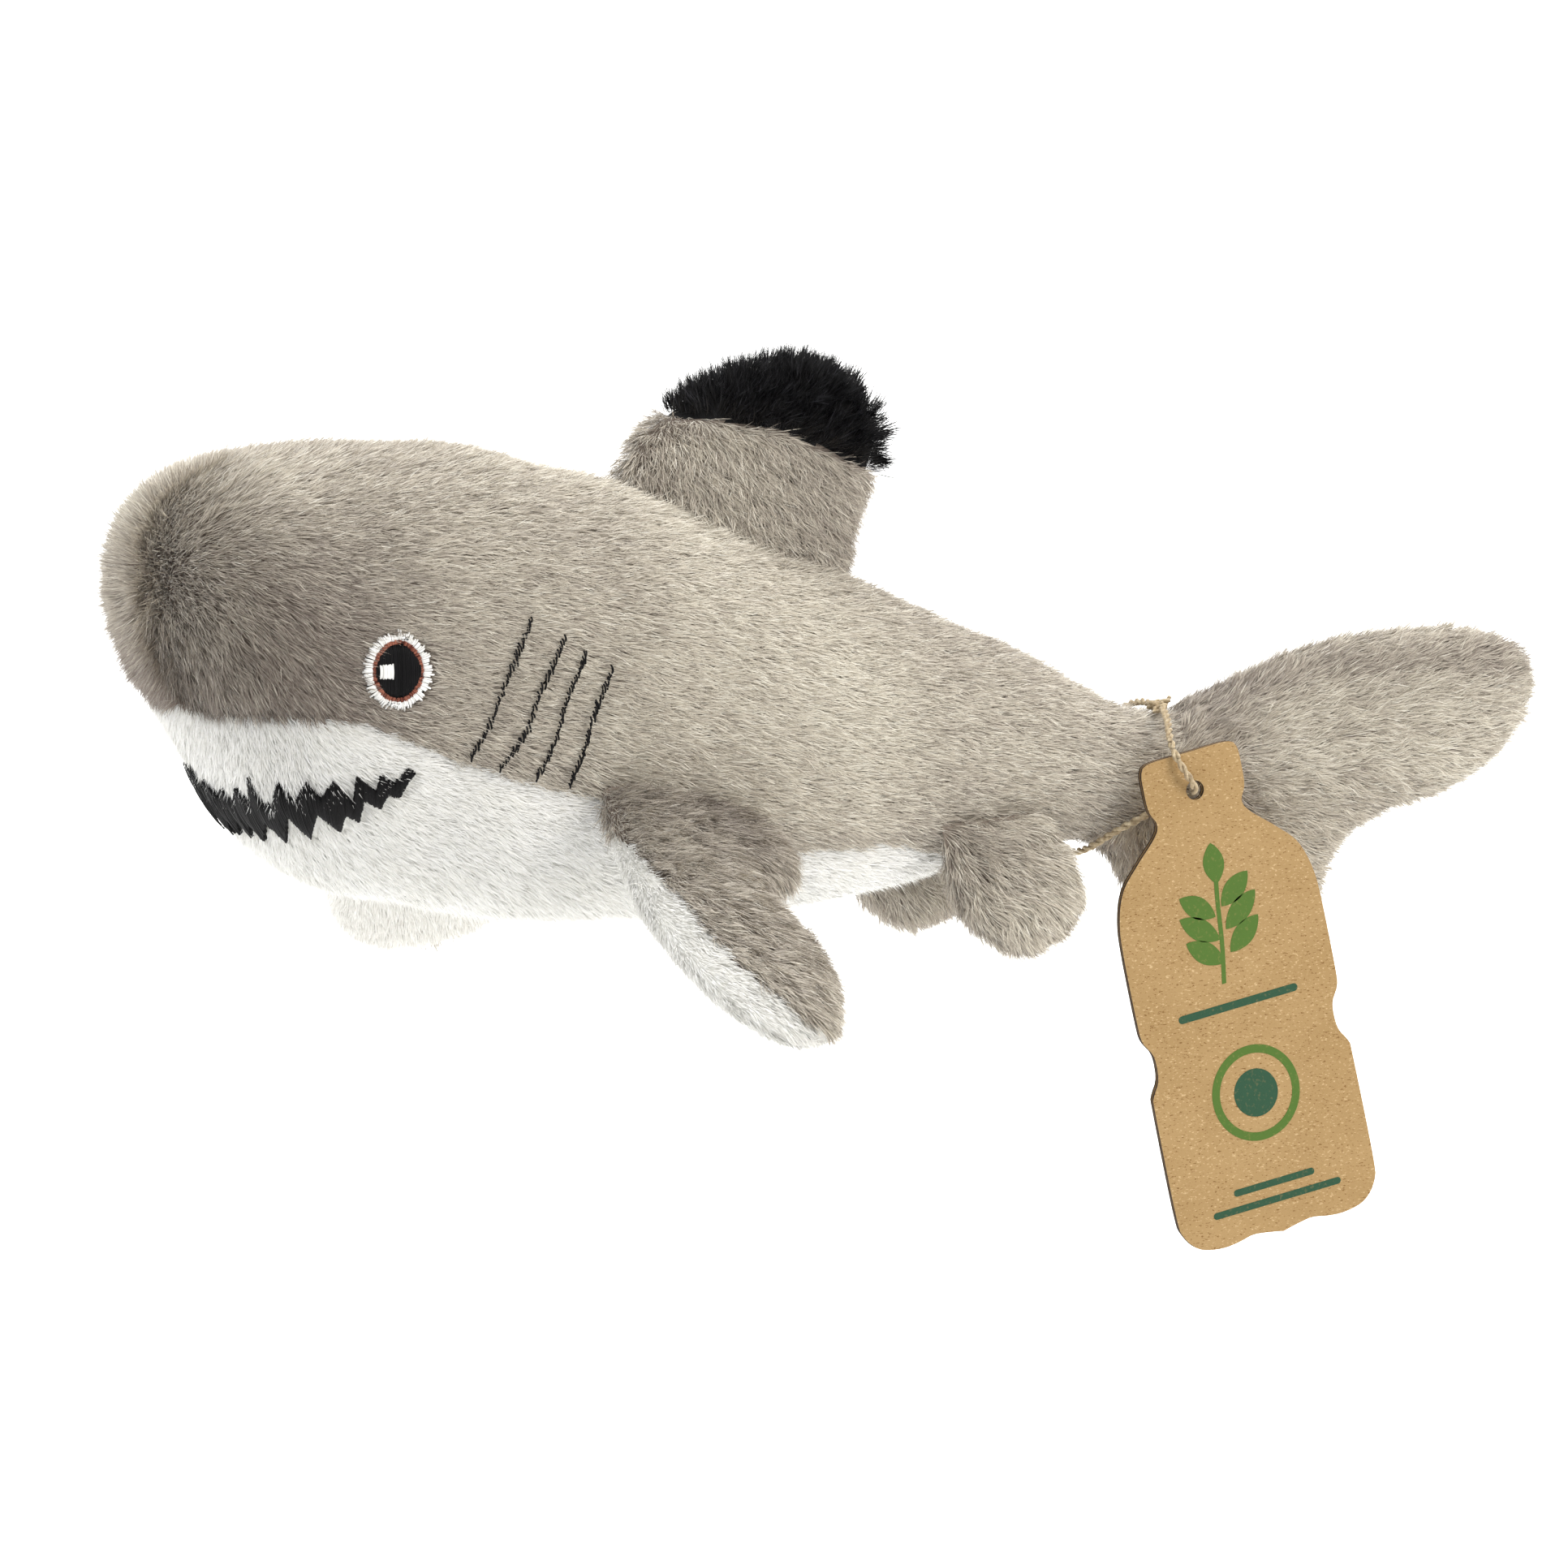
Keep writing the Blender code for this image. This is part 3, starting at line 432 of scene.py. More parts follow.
def build_lights():
    world = bpy.data.worlds.new("studio")
    world.use_nodes = True
    world.node_tree.nodes["Background"].inputs["Color"].default_value = (1, 1, 1, 1)
    world.node_tree.nodes["Background"].inputs["Strength"].default_value = 0.75
    bpy.context.scene.world = world
    shark = (0, 0, 0.04)
    area_light("key", (0.75, -1.1, 1.0), shark, 0.7, 16.0, "#fffaf2")
    area_light("top", (-0.1, 0.2, 1.4), shark, 1.0, 10.0)
    area_light("backdrop left", (-1.4, 1.0, 1.2), (-0.4, 2.0, 0.2), 1.2, 30.0)
    area_light("backdrop right", (1.4, 1.6, 1.2), (0.8, 2.2, 0.2), 1.2, 30.0)
    bpy.context.scene.view_settings.view_transform = "Standard"


build_camera()


# ---- Twine

TWINE = 1.4
TWINE_ROUTE = [
    (101.2, -7, 34), (99.2, -13.2, 32.2), (97.2, -18.2, 29.9), (96.7, -20.9, 27.6),
    (97.6, -22.1, 24.9), (99.7, -22.1, 21.8), (101.3, -20.9, 19.7), (101.4, -18.7, 18.9),
    (100.5, -16.9, 17.9), (97, -16.4, 16.4), (92.6, -15.3, 14.2), (88.4, -12.4, 11.4),
    (85.6, -8, 8.4), (84.9, -2.5, 6.9), (85.3, 3.5, 7.1), (87.4, 9.2, 10),
    (91.2, 12.8, 15), (95.4, 14.4, 21.5), (98.8, 13.2, 28.2), (100.8, 9.2, 32.6),
    (101.6, 4.2, 34.1), (101.9, -1.4, 34.2),
]
PLIES = 2
PLY_RADIUS = TWINE * 0.29
PLY_TURN = 4.2          # millimetres of twine for one full twist
KNOT_SIZE = (0.5, 0.62, 0.5)
KNOT_ENDS = ((-1.3, -1.8, -0.9), (1.5, -2.0, 1.5))
FIBRES = 160
FIBRE_REACH = (0.6, 1.9)
FIBRE_RADII = (0.05, 0.045, 0.035, 0.02)


def tubes(lines, radius, sides=6):
    """Closed round tubes along many lines at once (count, rows, 3), thinned to nothing at both ends."""
    count, rows = lines.shape[:2]
    ahead = unit(np.gradient(lines, axis=1))
    other = np.where(np.abs(ahead[..., 2:]) > 0.9, [[1.0, 0, 0]], [[0, 0, 1.0]])
    first = unit(np.cross(ahead, other))
    second = np.cross(ahead, first)
    turn = np.linspace(0, 2 * pi, sides, endpoint=False)
    round_it = first[:, :, None] * np.cos(turn)[:, None] + second[:, :, None] * np.sin(turn)[:, None]
    wide = np.broadcast_to(np.asarray(radius, float), (count, rows))
    points = lines[:, :, None] + round_it * wide[:, :, None, None]
    i = np.arange(rows - 1)[None, :, None]
    j = np.arange(sides)[None, None, :]
    k = (j + 1) % sides
    base = np.arange(count)[:, None, None] * rows * sides
    quads = np.stack([
        base + i * sides + j, base + i * sides + k, base + (i + 1) * sides + k, base + (i + 1) * sides + j
    ], axis=-1).reshape(-1, 4)
    cap = base[:, 0] + np.arange(sides)[None, :]
    caps = np.concatenate([cap, cap[:, ::-1] + (rows - 1) * sides])
    return points.reshape(-1, 3), quads, caps


def tube_piece(name, lines, radius, material, tones=None, sides=6):
    """One mesh of many closed tubes, with a tone for each."""
    points, quads, caps = tubes(lines, radius, sides)
    mesh = bpy.data.meshes.new(name)
    mesh.from_pydata((points * MM).tolist(), [], quads.tolist() + caps[:, ::-1].tolist())
    mesh.shade_smooth()
    if tones is not None:
        point_values(mesh, "tone", np.repeat(tones, len(points) // len(tones)))
    mesh.materials.append(material)
    return outward(new_object(name, mesh))


def twisted(route, count, thick):
    """Plies that wind round a route: offset by a quarter of its thickness, one turn every PLY_TURN."""
    share = np.linspace(0, 1, count)
    middle = smooth_line(route, share)
    run = np.concatenate([[0], np.cumsum(np.linalg.norm(np.diff(middle, axis=0), axis=1))])
    ahead = unit(np.gradient(middle, axis=0))
    side = unit(np.cross(ahead, np.array([0.05, 0.1, 1.0])))
    up = np.cross(ahead, side)
    plies = []
    for ply in range(PLIES):
        turn = 2 * pi * (run / PLY_TURN + ply / PLIES)
        plies.append(middle + (side * np.cos(turn)[:, None] + up * np.sin(turn)[:, None]) * thick / 4)
    return middle, np.array(plies), run[-1]


def build_twine():
    jute = jute_material()
    middle, plies, length = twisted(TWINE_ROUTE, 330, TWINE)
    twine = tube_piece("jute_twine", plies, PLY_RADIUS, jute, sides=7)
    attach(twine, "tail")
    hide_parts("tag_twine")
    # The knot is a trefoil: (sin t + 2 sin 2t, cos t - 2 cos 2t, -sin 3t)
    turn = np.linspace(0, 2 * pi, 60)
    centre = (np.array(TWINE_ROUTE[0]) + np.array(TWINE_ROUTE[-1])) / 2
    trefoil = [np.sin(turn) + 2 * np.sin(2 * turn), np.cos(turn) - 2 * np.cos(2 * turn), -np.sin(3 * turn)]
    tied = [twisted(np.stack(trefoil, axis=-1) * KNOT_SIZE + centre, 150, TWINE)[1]]
    for way in np.array(KNOT_ENDS):
        tied.append(twisted([centre, centre + way / 2, centre + way], 150, TWINE)[1])
    knot = tube_piece("twine_knot_tied", np.concatenate(tied), PLY_RADIUS, jute, sides=7)
    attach(knot, "tail")
    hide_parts("twine_knot")
    random = np.random.default_rng(5)
    root = middle[random.integers(2, len(middle) - 2, FIBRES)]
    way = unit(random.normal(size=(FIBRES, 3)))
    reach = random.uniform(*FIBRE_REACH, FIBRES)[:, None]
    bend = unit(random.normal(size=(FIBRES, 3)))
    s = np.linspace(0, 1, len(FIBRE_RADII))[None, :, None]
    hairs = root[:, None] + (way * reach)[:, None] * s + (bend * reach * 0.5)[:, None] * s**2
    fuzz = tube_piece("twine_fibres", hairs, FIBRE_RADII, jute, sides=3)
    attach(fuzz, "tail")


build_twine()


# ---- Pile

HAIR_WIDTH = 0.17       # each blade stands for a lock of finer hairs
PILE_DENSITY = 13.0     # locks to a square millimetre
GREY_LENGTH, SNOUT_EXTRA, WHITE_LENGTH = 3.8, 1.0, 2.9
DORSAL_LENGTH, TIP_LENGTH, FIN_LENGTH, TAIL_LENGTH = 4.6, 4.4, 4.4, 4.2
FIN_WHITE_SHARE = 0.62  # length of a fin's white pile as a share of its grey pile
FIN_LEAN = (0.55, 0.25)


def soft_noise(points, size, seed):
    """Smooth noise, about -1 to 1: a sum of 10 sine waves in random directions, size mm long."""
    random = np.random.default_rng(seed)
    waves = unit(random.normal(size=(10, 3))) * 2 * pi / size * random.uniform(0.6, 1.5, (10, 1))
    phase = random.uniform(0, 2 * pi, 10)
    return np.sin(points @ waves.T + phase).sum(axis=-1) / 3.2


def sow(grid, seed, allowed, *fields):
    """Random roots over a grid, even by area, where allowed: places, outward directions, and the fields there."""
    random = np.random.default_rng(seed)
    slope, across = np.gradient(grid, axis=0), np.gradient(grid, axis=1)
    a, b, c, d = grid[:-1, :-1], grid[:-1, 1:], grid[1:, 1:], grid[1:, :-1]
    area = 0.5 * np.linalg.norm(np.cross(c - a, d - b), axis=-1)
    total = int(area.sum() * PILE_DENSITY)
    cell = random.choice(area.size, total, p=(area / area.sum()).ravel())
    i, j = np.divmod(cell, area.shape[1])
    s, t = random.random((total, 1)), random.random((total, 1))

    def read(field):
        top = field[i, j] * (1 - t) + field[i, j + 1] * t
        low = field[i + 1, j] * (1 - t) + field[i + 1, j + 1] * t
        return top * (1 - s) + low * s

    place, up = read(grid), unit(read(unit(np.cross(across, slope))))
    up = up * np.sign(((place - place.mean(axis=0)) * up).sum())
    keep = allowed(place)
    return [value[keep] for value in (place, up, *map(read, fields))]


LENGTH_SPREAD, LIFT_SPREAD, ROLL_SPREAD = 0.16, 0.14, 0.6
STRAY_SHARE, STRAY_LIFT = 0.06, 0.5     # hairs that stand up from the rest, and how far in radians
ROOT_DEPTH = 0.15


def comb(place, up, lie, seed, length, lean, jitter=0.22, clump=0.3, clump_size=5.0):
    """Hairs as bent lines of three points: lean is the angle off the cloth at the root and at the tip."""
    random = np.random.default_rng(seed)
    count = len(place)
    lie = unit(lie - up * (lie * up).sum(axis=-1, keepdims=True))
    side = np.cross(up, lie)
    sway = clump * soft_noise(place, clump_size, seed) + 0.5 * clump * soft_noise(place, clump_size / 3, seed + 1)
    sway = sway + jitter * random.normal(size=count)
    lie = unit(lie * np.cos(sway)[:, None] + side * np.sin(sway)[:, None])
    lift = 0.09 * soft_noise(place, clump_size * 0.8, seed + 2) + LIFT_SPREAD * random.normal(size=count)
    lift = lift + STRAY_LIFT * (random.random(count) > 1 - STRAY_SHARE)
    reach = np.asarray(length) * np.clip(1 + LENGTH_SPREAD * random.normal(size=count), 0.5, 1.5)
    half = (reach / 2)[:, None]
    line = [place - up * ROOT_DEPTH]
    for angle, least in zip(lean, (0.08, 0.02)):
        angle = np.clip(angle + lift, least, 1.5)[:, None]
        line.append(line[-1] + half * (lie * np.cos(angle) + up * np.sin(angle)))
    roll = random.normal(size=count)[:, None] * ROLL_SPREAD
    flat = unit(np.cross(up, lie))
    return *line, unit(flat * np.cos(roll) + up * np.sin(roll))


def hair_piece(name, hairs, tone, kind, pick):
    """Lancet blades of two triangles that bend half way: root, two points at the middle, and tip."""
    root, middle, tip, flat = (value[pick] for value in hairs)
    count = len(root)
    wide = flat * HAIR_WIDTH / 2
    points = np.stack([root, middle - wide, middle + wide, tip], axis=1)
    base = (np.arange(count) * 4)[:, None]
    tris = (base[:, None] + np.array([[0, 1, 2], [2, 1, 3]])[None]).reshape(-1, 3)
    mesh = bpy.data.meshes.new(name)
    mesh.vertices.add(count * 4)
    mesh.vertices.foreach_set("co", (points * MM).astype(np.float32).ravel())
    mesh.loops.add(tris.size)
    mesh.loops.foreach_set("vertex_index", tris.astype(np.int32).ravel())
    mesh.polygons.add(len(tris))
    mesh.polygons.foreach_set("loop_start", np.arange(0, tris.size, 3, dtype=np.int32))
    mesh.update(calc_edges=True)
    point_values(mesh, "tone", np.repeat(np.clip(tone[pick], 0, 1), 4))
    point_values(mesh, "along", np.tile([0.0, 0.6, 0.6, 1.0], count))
    cells = int(np.ceil(np.sqrt(count)))
    row, column = np.divmod(np.arange(count), cells)
    corner = np.array([[0.5, 0.1], [0.15, 0.5], [0.85, 0.5], [0.5, 0.9]])
    spot = (np.stack([column, row], axis=-1)[:, None] + corner[None]) / cells   # each blade's own UV cell
    layer = mesh.uv_layers.new(name="OFBake")
    layer.data.foreach_set("uv", spot.reshape(-1, 2)[tris.ravel()].astype(np.float32).ravel())
    mesh.materials.append(PILE[kind])
    thing = new_object(name, mesh)
    return thing


# ---- Trunk

SKIN_DEPTH = 0.6        # the cloth lies this far inside the solid's surface
TRUNK_ROWS, TRUNK_COLUMNS = 150, 161
EYE_PLACE = (-70.0, 50.8)
EYE_RADIUS = 7.0
GILLS = [
    [(-42.8, 59), (-48.6, 48), (-51.6, 41), (-55.5, 34.4)],
    [(-36.2, 55.4), (-41.6, 46), (-44.6, 38.5), (-49.4, 32)],
    [(-31.9, 52.3), (-36.4, 43.5), (-38.4, 37), (-41.8, 30)],
    [(-26.5, 49.3), (-30.6, 41), (-32.6, 34.5), (-35.1, 28.2)],
]
PILE_BANDS = [
    ("snout", -200, -84), ("eye", -84, -58), ("gill", -58, -32), ("shoulder", -32, -8),
    ("middle", -8, 16), ("waist", 16, 40), ("hip", 40, 64), ("stock", 64, 200),
]
MOUTH_CENTRE_X = -58.0
MOUTH_TURN = radians(76.0)
# Edges of the black mouth as turn from straight ahead in degrees, and height; the same on both sides
LOWER_TEETH = np.array([
    (0, 21), (5, 17.8), (10, 20.8), (15, 17.5), (23, 21.7), (29.5, 18), (35, 23.4),
    (41, 19.2), (46, 24.1), (52, 20.6), (54.5, 24), (58.5, 22.6), (60.5, 26.8), (65.5, 25),
    (68, 27.8), (71.5, 27.2), (76, 31.6),
])
UPPER_TEETH = np.array([
    (0, 26.8), (6, 24.6), (13, 27.8), (18, 25.4), (23.5, 30.6), (25.5, 25.4), (30.5, 25.4),
    (35, 29.9), (40, 26.4), (44.5, 30.4), (48, 27.2), (52, 30.4), (57, 26.4), (58.5, 31.6),
    (64, 28.4), (65.5, 31.6), (70, 30), (74, 32.6), (76, 32),
])


def mouth_edges(turn):
    """Lower and upper edge heights of the black mouth at a turn from straight ahead."""
    across = np.degrees(np.abs(turn))
    return np.interp(across, *LOWER_TEETH.T), np.interp(across, *UPPER_TEETH.T)


def seam_height(place):
    return np.interp(place[..., 0], *COLOUR_SEAM.T)


def is_white(place):
    """Below the colour seam."""
    return place[..., 2] < seam_height(place)


def clear_of_stitches(place):
    """Leaves the eyes, the mouth and a ragged thread's width at the gills free of pile."""
    x, y, z = place.T
    eye = np.hypot(x - EYE_PLACE[0], z - EYE_PLACE[1]) < EYE_RADIUS - 0.5
    turn = np.arctan2(y, MOUTH_CENTRE_X - x)
    low, high = mouth_edges(turn)
    mouth = (np.abs(turn) < MOUTH_TURN) & (z > low - 0.1) & (z < high - 0.5) & (x < MOUTH_CENTRE_X + 2)
    keep = ~(eye | mouth)
    near = (x > -60) & (x < -22) & (z > 24) & (z < 62)
    spots = place[near][:, [0, 2]]
    least = np.full(len(spots), 99.0)
    for line in GILLS:
        for point in smooth_line(line, np.linspace(0, 1, 40)):
            least = np.minimum(least, np.hypot(*(spots - point).T))
    ragged = 0.5 + 0.22 * soft_noise(np.column_stack([spots, 0 * spots[:, 0]]), 2.4, 17)
    keep[near] &= least > ragged
    return keep


def trunk_grid():
    """The trunk's cloth under the pile, drawn in along its seams and softly uneven."""
    share = np.linspace(0, 1, TRUNK_ROWS)[:, None]
    ahead = 0.02    # the first row's distance behind the nose
    x = NOSE_X + ahead + (STOCK_END_X - NOSE_X - ahead) * (0.25 * share + 0.75 * share**2)
    grid = trunk_point(x, np.linspace(0, 2 * pi, TRUNK_COLUMNS)[None, :])
    seam = seam_height(grid)
    side_seam = bell(grid[..., 2], seam, 2.2)
    back_seam = bell(grid[..., 1], 0, 1.8) * (grid[..., 2] > seam)
    dent = SKIN_DEPTH + 1.1 * side_seam + 1.0 * back_seam + 0.35 * soft_noise(grid, 34.0, 3)
    return grid - trunk_normal(grid) * dent[..., None]


# How far the pile faces down: the tones are darkened by it as painted shade underneath.
def facing_down(up):
    return np.clip(-up[:, 2], 0, 1)


def grey_tone(place, seed, painted_shading=0.0):
    """Tone of each grey hair: chance, soft blotches 42 mm and 9 mm across, short streaks, the painted light and
    shade passed in, and painted glints on a tenth of the hairs.
    """
    middle, spread, glint, painted_glint_share = 0.61, 0.15, 0.4, 0.10
    random = np.random.default_rng(seed)
    blotch = 0.06 * soft_noise(place, 42.0, 11) + 0.04 * soft_noise(place * [1.0, 1.6, 1.6], 9.0, 12)
    streak = 0.035 * soft_noise(place * [0.8, 1.6, 1.6], 1.3, 13)
    # A tenth of the hairs made paler: painted glints.
    painted_glints = glint * (random.random(len(place)) > 1 - painted_glint_share)
    return middle + painted_shading + blotch + streak + painted_glints + spread * random.normal(size=len(place))


def white_tone(place, seed, middle):
    return middle + 0.18 * np.random.default_rng(seed).normal(size=len(place))


def trunk_painted_shading(place, up):
    """Painted light and shade on the trunk's grey pile: darkest low on the snout's sides, a little paler on the
    flank, darker behind and underneath.
    """
    x, z = place[:, 0], place[:, 2]
    front = bell(x, -92.0, np.where(x < -92.0, 18.0, 32.0))
    low = np.clip((86.0 - z) / 34.0, 0, 1)
    snout = front * (0.14 + 0.34 * low) * np.clip(1.15 - up[:, 2], 0.35, 1)
    flank = bell(x, 4.0, 46.0) * np.clip(1 - np.abs(up[:, 2] - 0.1), 0, 1)
    stock = np.clip((x - 58.0) / 30.0, 0, 1)
    return 0.17 * flank - snout - 0.10 * stock - 0.16 * facing_down(up)


def build_trunk():
    grid = trunk_grid()
    skin = grid_mesh("trunk_cloth", grid[:, :-1], close_columns=True, fans=(0, TRUNK_ROWS - 1))
    outward(skin)
    skin.data.materials.append(BACKING["grey"])
    skin.data.materials.append(BACKING["white"])
    centres = np.empty(len(skin.data.polygons) * 3)
    skin.data.polygons.foreach_get("center", centres)
    white = is_white(centres.reshape(-1, 3) / MM)
    skin.data.polygons.foreach_set("material_index", white.astype(np.int32))
    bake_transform(skin)
    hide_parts("body_panel_left", "body_panel_right", "belly_panel", "body_stuffing")

    place, up, lie = sow(grid, 21, clear_of_stitches, np.gradient(grid, axis=0))
    white = is_white(place)
    x, y, z = place.T
    snout = np.clip((-88.0 - x) / 14.0, 0, 1)
    parting = bell(y, 0, 2.5 + 7 * snout) * (z > seam_height(place)) * (0.5 + 2.0 * snout)
    lie = unit(unit(lie) + (np.sign(y) * parting)[:, None] * [0.3, 1.0, 0])
    fall = np.clip((z - 10) / 80, 0, 1)
    lie = unit(lie + np.array([0, 0, -0.18]) * fall[:, None])
    length = np.where(white, WHITE_LENGTH, GREY_LENGTH + SNOUT_EXTRA * snout)
    lean = (np.where(white, 0.60, 0.58 + 0.2 * snout), np.where(white, 0.36, 0.26 + 0.2 * snout))
    hairs = comb(place, up, lie, 31, length, lean, jitter=0.2, clump=0.16, clump_size=6.0)
    # The white pile is darkened where it faces down: painted shade.
    pale = white_tone(place, 43, 0.80 + 0.08 * soft_noise(place, 20.0, 14) - 0.10 * facing_down(up))
    tone = np.where(white, pale, grey_tone(place, 41, trunk_painted_shading(place, up)))
    for name, start, end in PILE_BANDS:
        for kind in ("grey", "white"):
            pick = (x >= start) & (x < end) & (white == (kind == "white"))
            if not pick.any():
                continue
            piece = hair_piece(f"{name}_{kind}_pile", hairs, tone, kind, pick)
            if name == "stock":
                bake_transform(piece)
            else:
                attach(piece, "trunk")


build_trunk()


# ---- Fins and tail

DRAW_IN = 1.6
MIDDLE_PLANE = (np.zeros(3), np.array([1.0, 0, 0]), np.array([0, 0, 1.0]), np.array([0, -1.0, 0]))


def fin_patch(edges, u, v):
    """Coons patch: the two pairs of opposite edges blended, less their corners."""
    root, tip, lead, trail = edges
    r, t = smooth_line(root, v), smooth_line(tip, v)
    a, b = smooth_line(lead, u), smooth_line(trail, u)
    uu, vv = u[..., None], v[..., None]
    corner = (1 - uu) * ((1 - vv) * np.array(root[0]) + vv * np.array(root[-1]))
    corner = corner + uu * ((1 - vv) * np.array(tip[0]) + vv * np.array(tip[-1]))
    return (1 - uu) * r + uu * t + (1 - vv) * a + vv * b - corner


def fin_grid(edges, rows, columns, halves, axes, tuck=0.0, round_from=0.6):
    """A stuffed fin as a loop round its outline: v = (1-cos)/2 across, height = half sin, closing at the tip.

    tuck moves the root rows back into the body; DRAW_IN keeps the cloth inside the pile's outline.
    """
    place, along, out, up = axes
    t = np.linspace(0, 1, rows)[:, None] * np.ones((1, columns))
    u = np.sin(t * pi / 2) ** 0.9
    turn = np.linspace(0, 2 * pi, columns)[None, :] * np.ones((rows, 1))
    v = (1 - np.cos(turn)) / 2
    flat = fin_patch(edges, u, v)
    middle = fin_patch(edges, u, 0 * v + 0.5)
    gap = flat - middle
    reach = np.linalg.norm(gap, axis=-1, keepdims=True)
    flat = middle + gap * (1 - DRAW_IN / np.maximum(reach, DRAW_IN * 2))
    half = np.interp(u, *halves)
    end = np.sqrt(np.clip(1 - np.clip((u - round_from) / (1 - round_from), 0, 1) ** 2, 0.0, 1))
    height = (half - SKIN_DEPTH) * np.sin(turn) * end
    grid = place + flat[..., :1] * along + flat[..., 1:] * out + height[..., None] * up
    return grid - out * (tuck * (1 - u) ** 4)[..., None], u, turn


def finish_fin(name, grid, kinds, replaced):
    """The fin's closed cloth, in one or two colours by row and column."""
    skin = grid_mesh(name, grid[:, :-1], close_columns=True, fans=(0,))
    used = sorted(set(kinds.ravel().tolist()))
    for kind in used:
        skin.data.materials.append(BACKING[kind])
    index = np.array([used.index(k) for k in kinds[:-1, :-1].ravel()] + [0] * (grid.shape[1] - 1))
    skin.data.polygons.foreach_set("material_index", index.astype(np.int32))
    outward(skin, weld=True)
    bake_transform(skin)
    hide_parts(*replaced)


def outside_trunk(place):
    return trunk_depth(place) > 0.04


def mirror(grid):
    return grid * np.array([1.0, -1.0, 1.0])


DORSAL_EDGES = (
    [(-12, 84.2), (36.5, 63.9)],
    [(6.5, 96.2), (18, 100.6), (30, 100.6), (40, 96.2), (45.8, 88.5)],
    [(-12, 84.2), (-7, 89), (0.5, 93.2), (6.5, 96.2)],
    [(36.5, 63.9), (39.5, 72), (43.5, 80.5), (45.8, 88.5)],
)
TIP_SEAM = np.array([
    (-12, 92.4), (-4, 92.6), (8, 92), (21, 89.4), (30, 86), (36, 83), (50, 76.5),
])
DORSAL_HALVES = ([0, 0.5, 1], [8.2, 8.4, 7.0])


def build_dorsal():
    """In the middle plane: grey below, a standing black tip above a seam."""
    grid = fin_grid(DORSAL_EDGES, 60, 97, DORSAL_HALVES, MIDDLE_PLANE, tuck=9.0)[0]
    kinds = np.where(grid[..., 2] > np.interp(grid[..., 0], *TIP_SEAM.T), "black", "grey")
    finish_fin(
        "dorsal_cloth", grid, kinds,
        ("dorsal_panel_left", "dorsal_panel_right", "dorsal_tip_left", "dorsal_tip_right", "dorsal_stuffing"),
    )
    place, up = sow(grid, 51, outside_trunk)
    black = place[:, 2] > np.interp(place[:, 0], *TIP_SEAM.T) + 0.5 * soft_noise(place, 12.0, 8)
    turned = np.clip((place[:, 0] - 10.0) / 40.0, -0.6, 1)[:, None]
    hanging = np.array([0.35, 0, -0.9]) + turned * np.array([0.35, 0, 0.1])
    lie = np.where(black[:, None], [0.2, 0, 0.9], hanging)
    lean = (np.where(black, 1.1, 0.75), np.where(black, 0.95, 0.4))
    tuft = 1 + 0.34 * soft_noise(place, 3.6, 18)
    length = np.where(black, TIP_LENGTH * np.clip(tuft, 0.45, 1.7), DORSAL_LENGTH)
    hairs = comb(place, up, lie, 52, length, lean, jitter=0.4, clump=np.where(black, 0.8, 0.35))
    sooty = 0.45 + 0.24 * np.random.default_rng(53).normal(size=len(place))
    # The dorsal's grey pile is darkened by 0.14 as painted shade.
    tone = np.where(black, sooty, grey_tone(place, 54, -0.14))
    for kind in ("grey", "black"):
        piece = hair_piece(f"dorsal_{kind}_pile", hairs, tone, kind, black == (kind == "black"))
        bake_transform(piece)


def fin_axes(front, rear, reach):
    """Place of a fin's front root, and its directions along the root, outwards and up."""
    along = unit(np.array(rear) - np.array(front))
    out = np.array(reach, float)
    out = unit(out - along * (out @ along))
    return np.array(front, float), along, out, -np.cross(along, out)


PECTORAL_EDGES = (
    [(-1.5, 0), (36.5, 0)],
    [(3.2, 62), (9.5, 67.8), (18.5, 68.2), (27, 60.5)],
    [(-1.5, 0), (-5, 16), (-6.5, 34), (-2.8, 51), (3.2, 62)],
    [
        (36.5, 0), (39.2, 7), (37.6, 13.2), (30.5, 18), (25.2, 23.4), (27.6, 28.6), (31.6, 36.4),
        (31.8, 47), (27, 60.5),
    ],
)
PECTORAL_AXES = fin_axes((-27.0, -37.5, 23.5), (8.0, -34.0, 13.0), (3.0, -53.0, -32.0))
PELVIC_EDGES = (
    [(0, 0), (24.4, 0)],
    [(4.5, 15.2), (10.5, 19.6), (16.5, 19.4), (23.4, 16.8)],
    [(0, 0), (0, 6), (1.2, 11), (4.5, 15.2)],
    [(25.6, 0), (28.6, 5), (29, 11.5), (23.4, 16.8)],
)
PELVIC_AXES = fin_axes((48.0, -21.0, 10.4), (72.4, -16.6, 11.6), (3.5, -6.5, -18.0))


# Halves are half thicknesses by share outwards; tuck is how far the root goes into the body; the shading values
# lighten or darken each side's grey pile as painted light and shade
SIDE_FINS = {
    "pectoral": {
        "edges": PECTORAL_EDGES, "axes": PECTORAL_AXES, "halves": ([0, 0.16, 0.5, 1], [3.4, 6.6, 7.2, 5.6]),
        "tuck": 11.0, "blend_room": 5.0, "two_colours": True, "painted_shading": {LEFT: -0.12, RIGHT: -0.12}, "seed": 61,
    },
    "pelvic": {
        "edges": PELVIC_EDGES, "axes": PELVIC_AXES, "halves": ([0, 0.3, 0.55, 1], [1.2, 4.6, 5.6, 4.6]),
        "tuck": 5.0, "blend_room": 3.5, "two_colours": False, "painted_shading": {LEFT: 0.10, RIGHT: -0.08}, "seed": 71,
    },
}
WHITE_WRAP = ([0, 0.12, 0.3, 0.5, 0.8, 0.93, 1], [-60.0, -20.0, 14.0, 34.0, 48.0, 84.0, 140.0])
# How much each side's white fin pile darkens where it faces down: painted shade, stronger on the right.
WHITE_PAINTED_UNDERSIDE_SHADE = {LEFT: 0.14, RIGHT: 0.34}


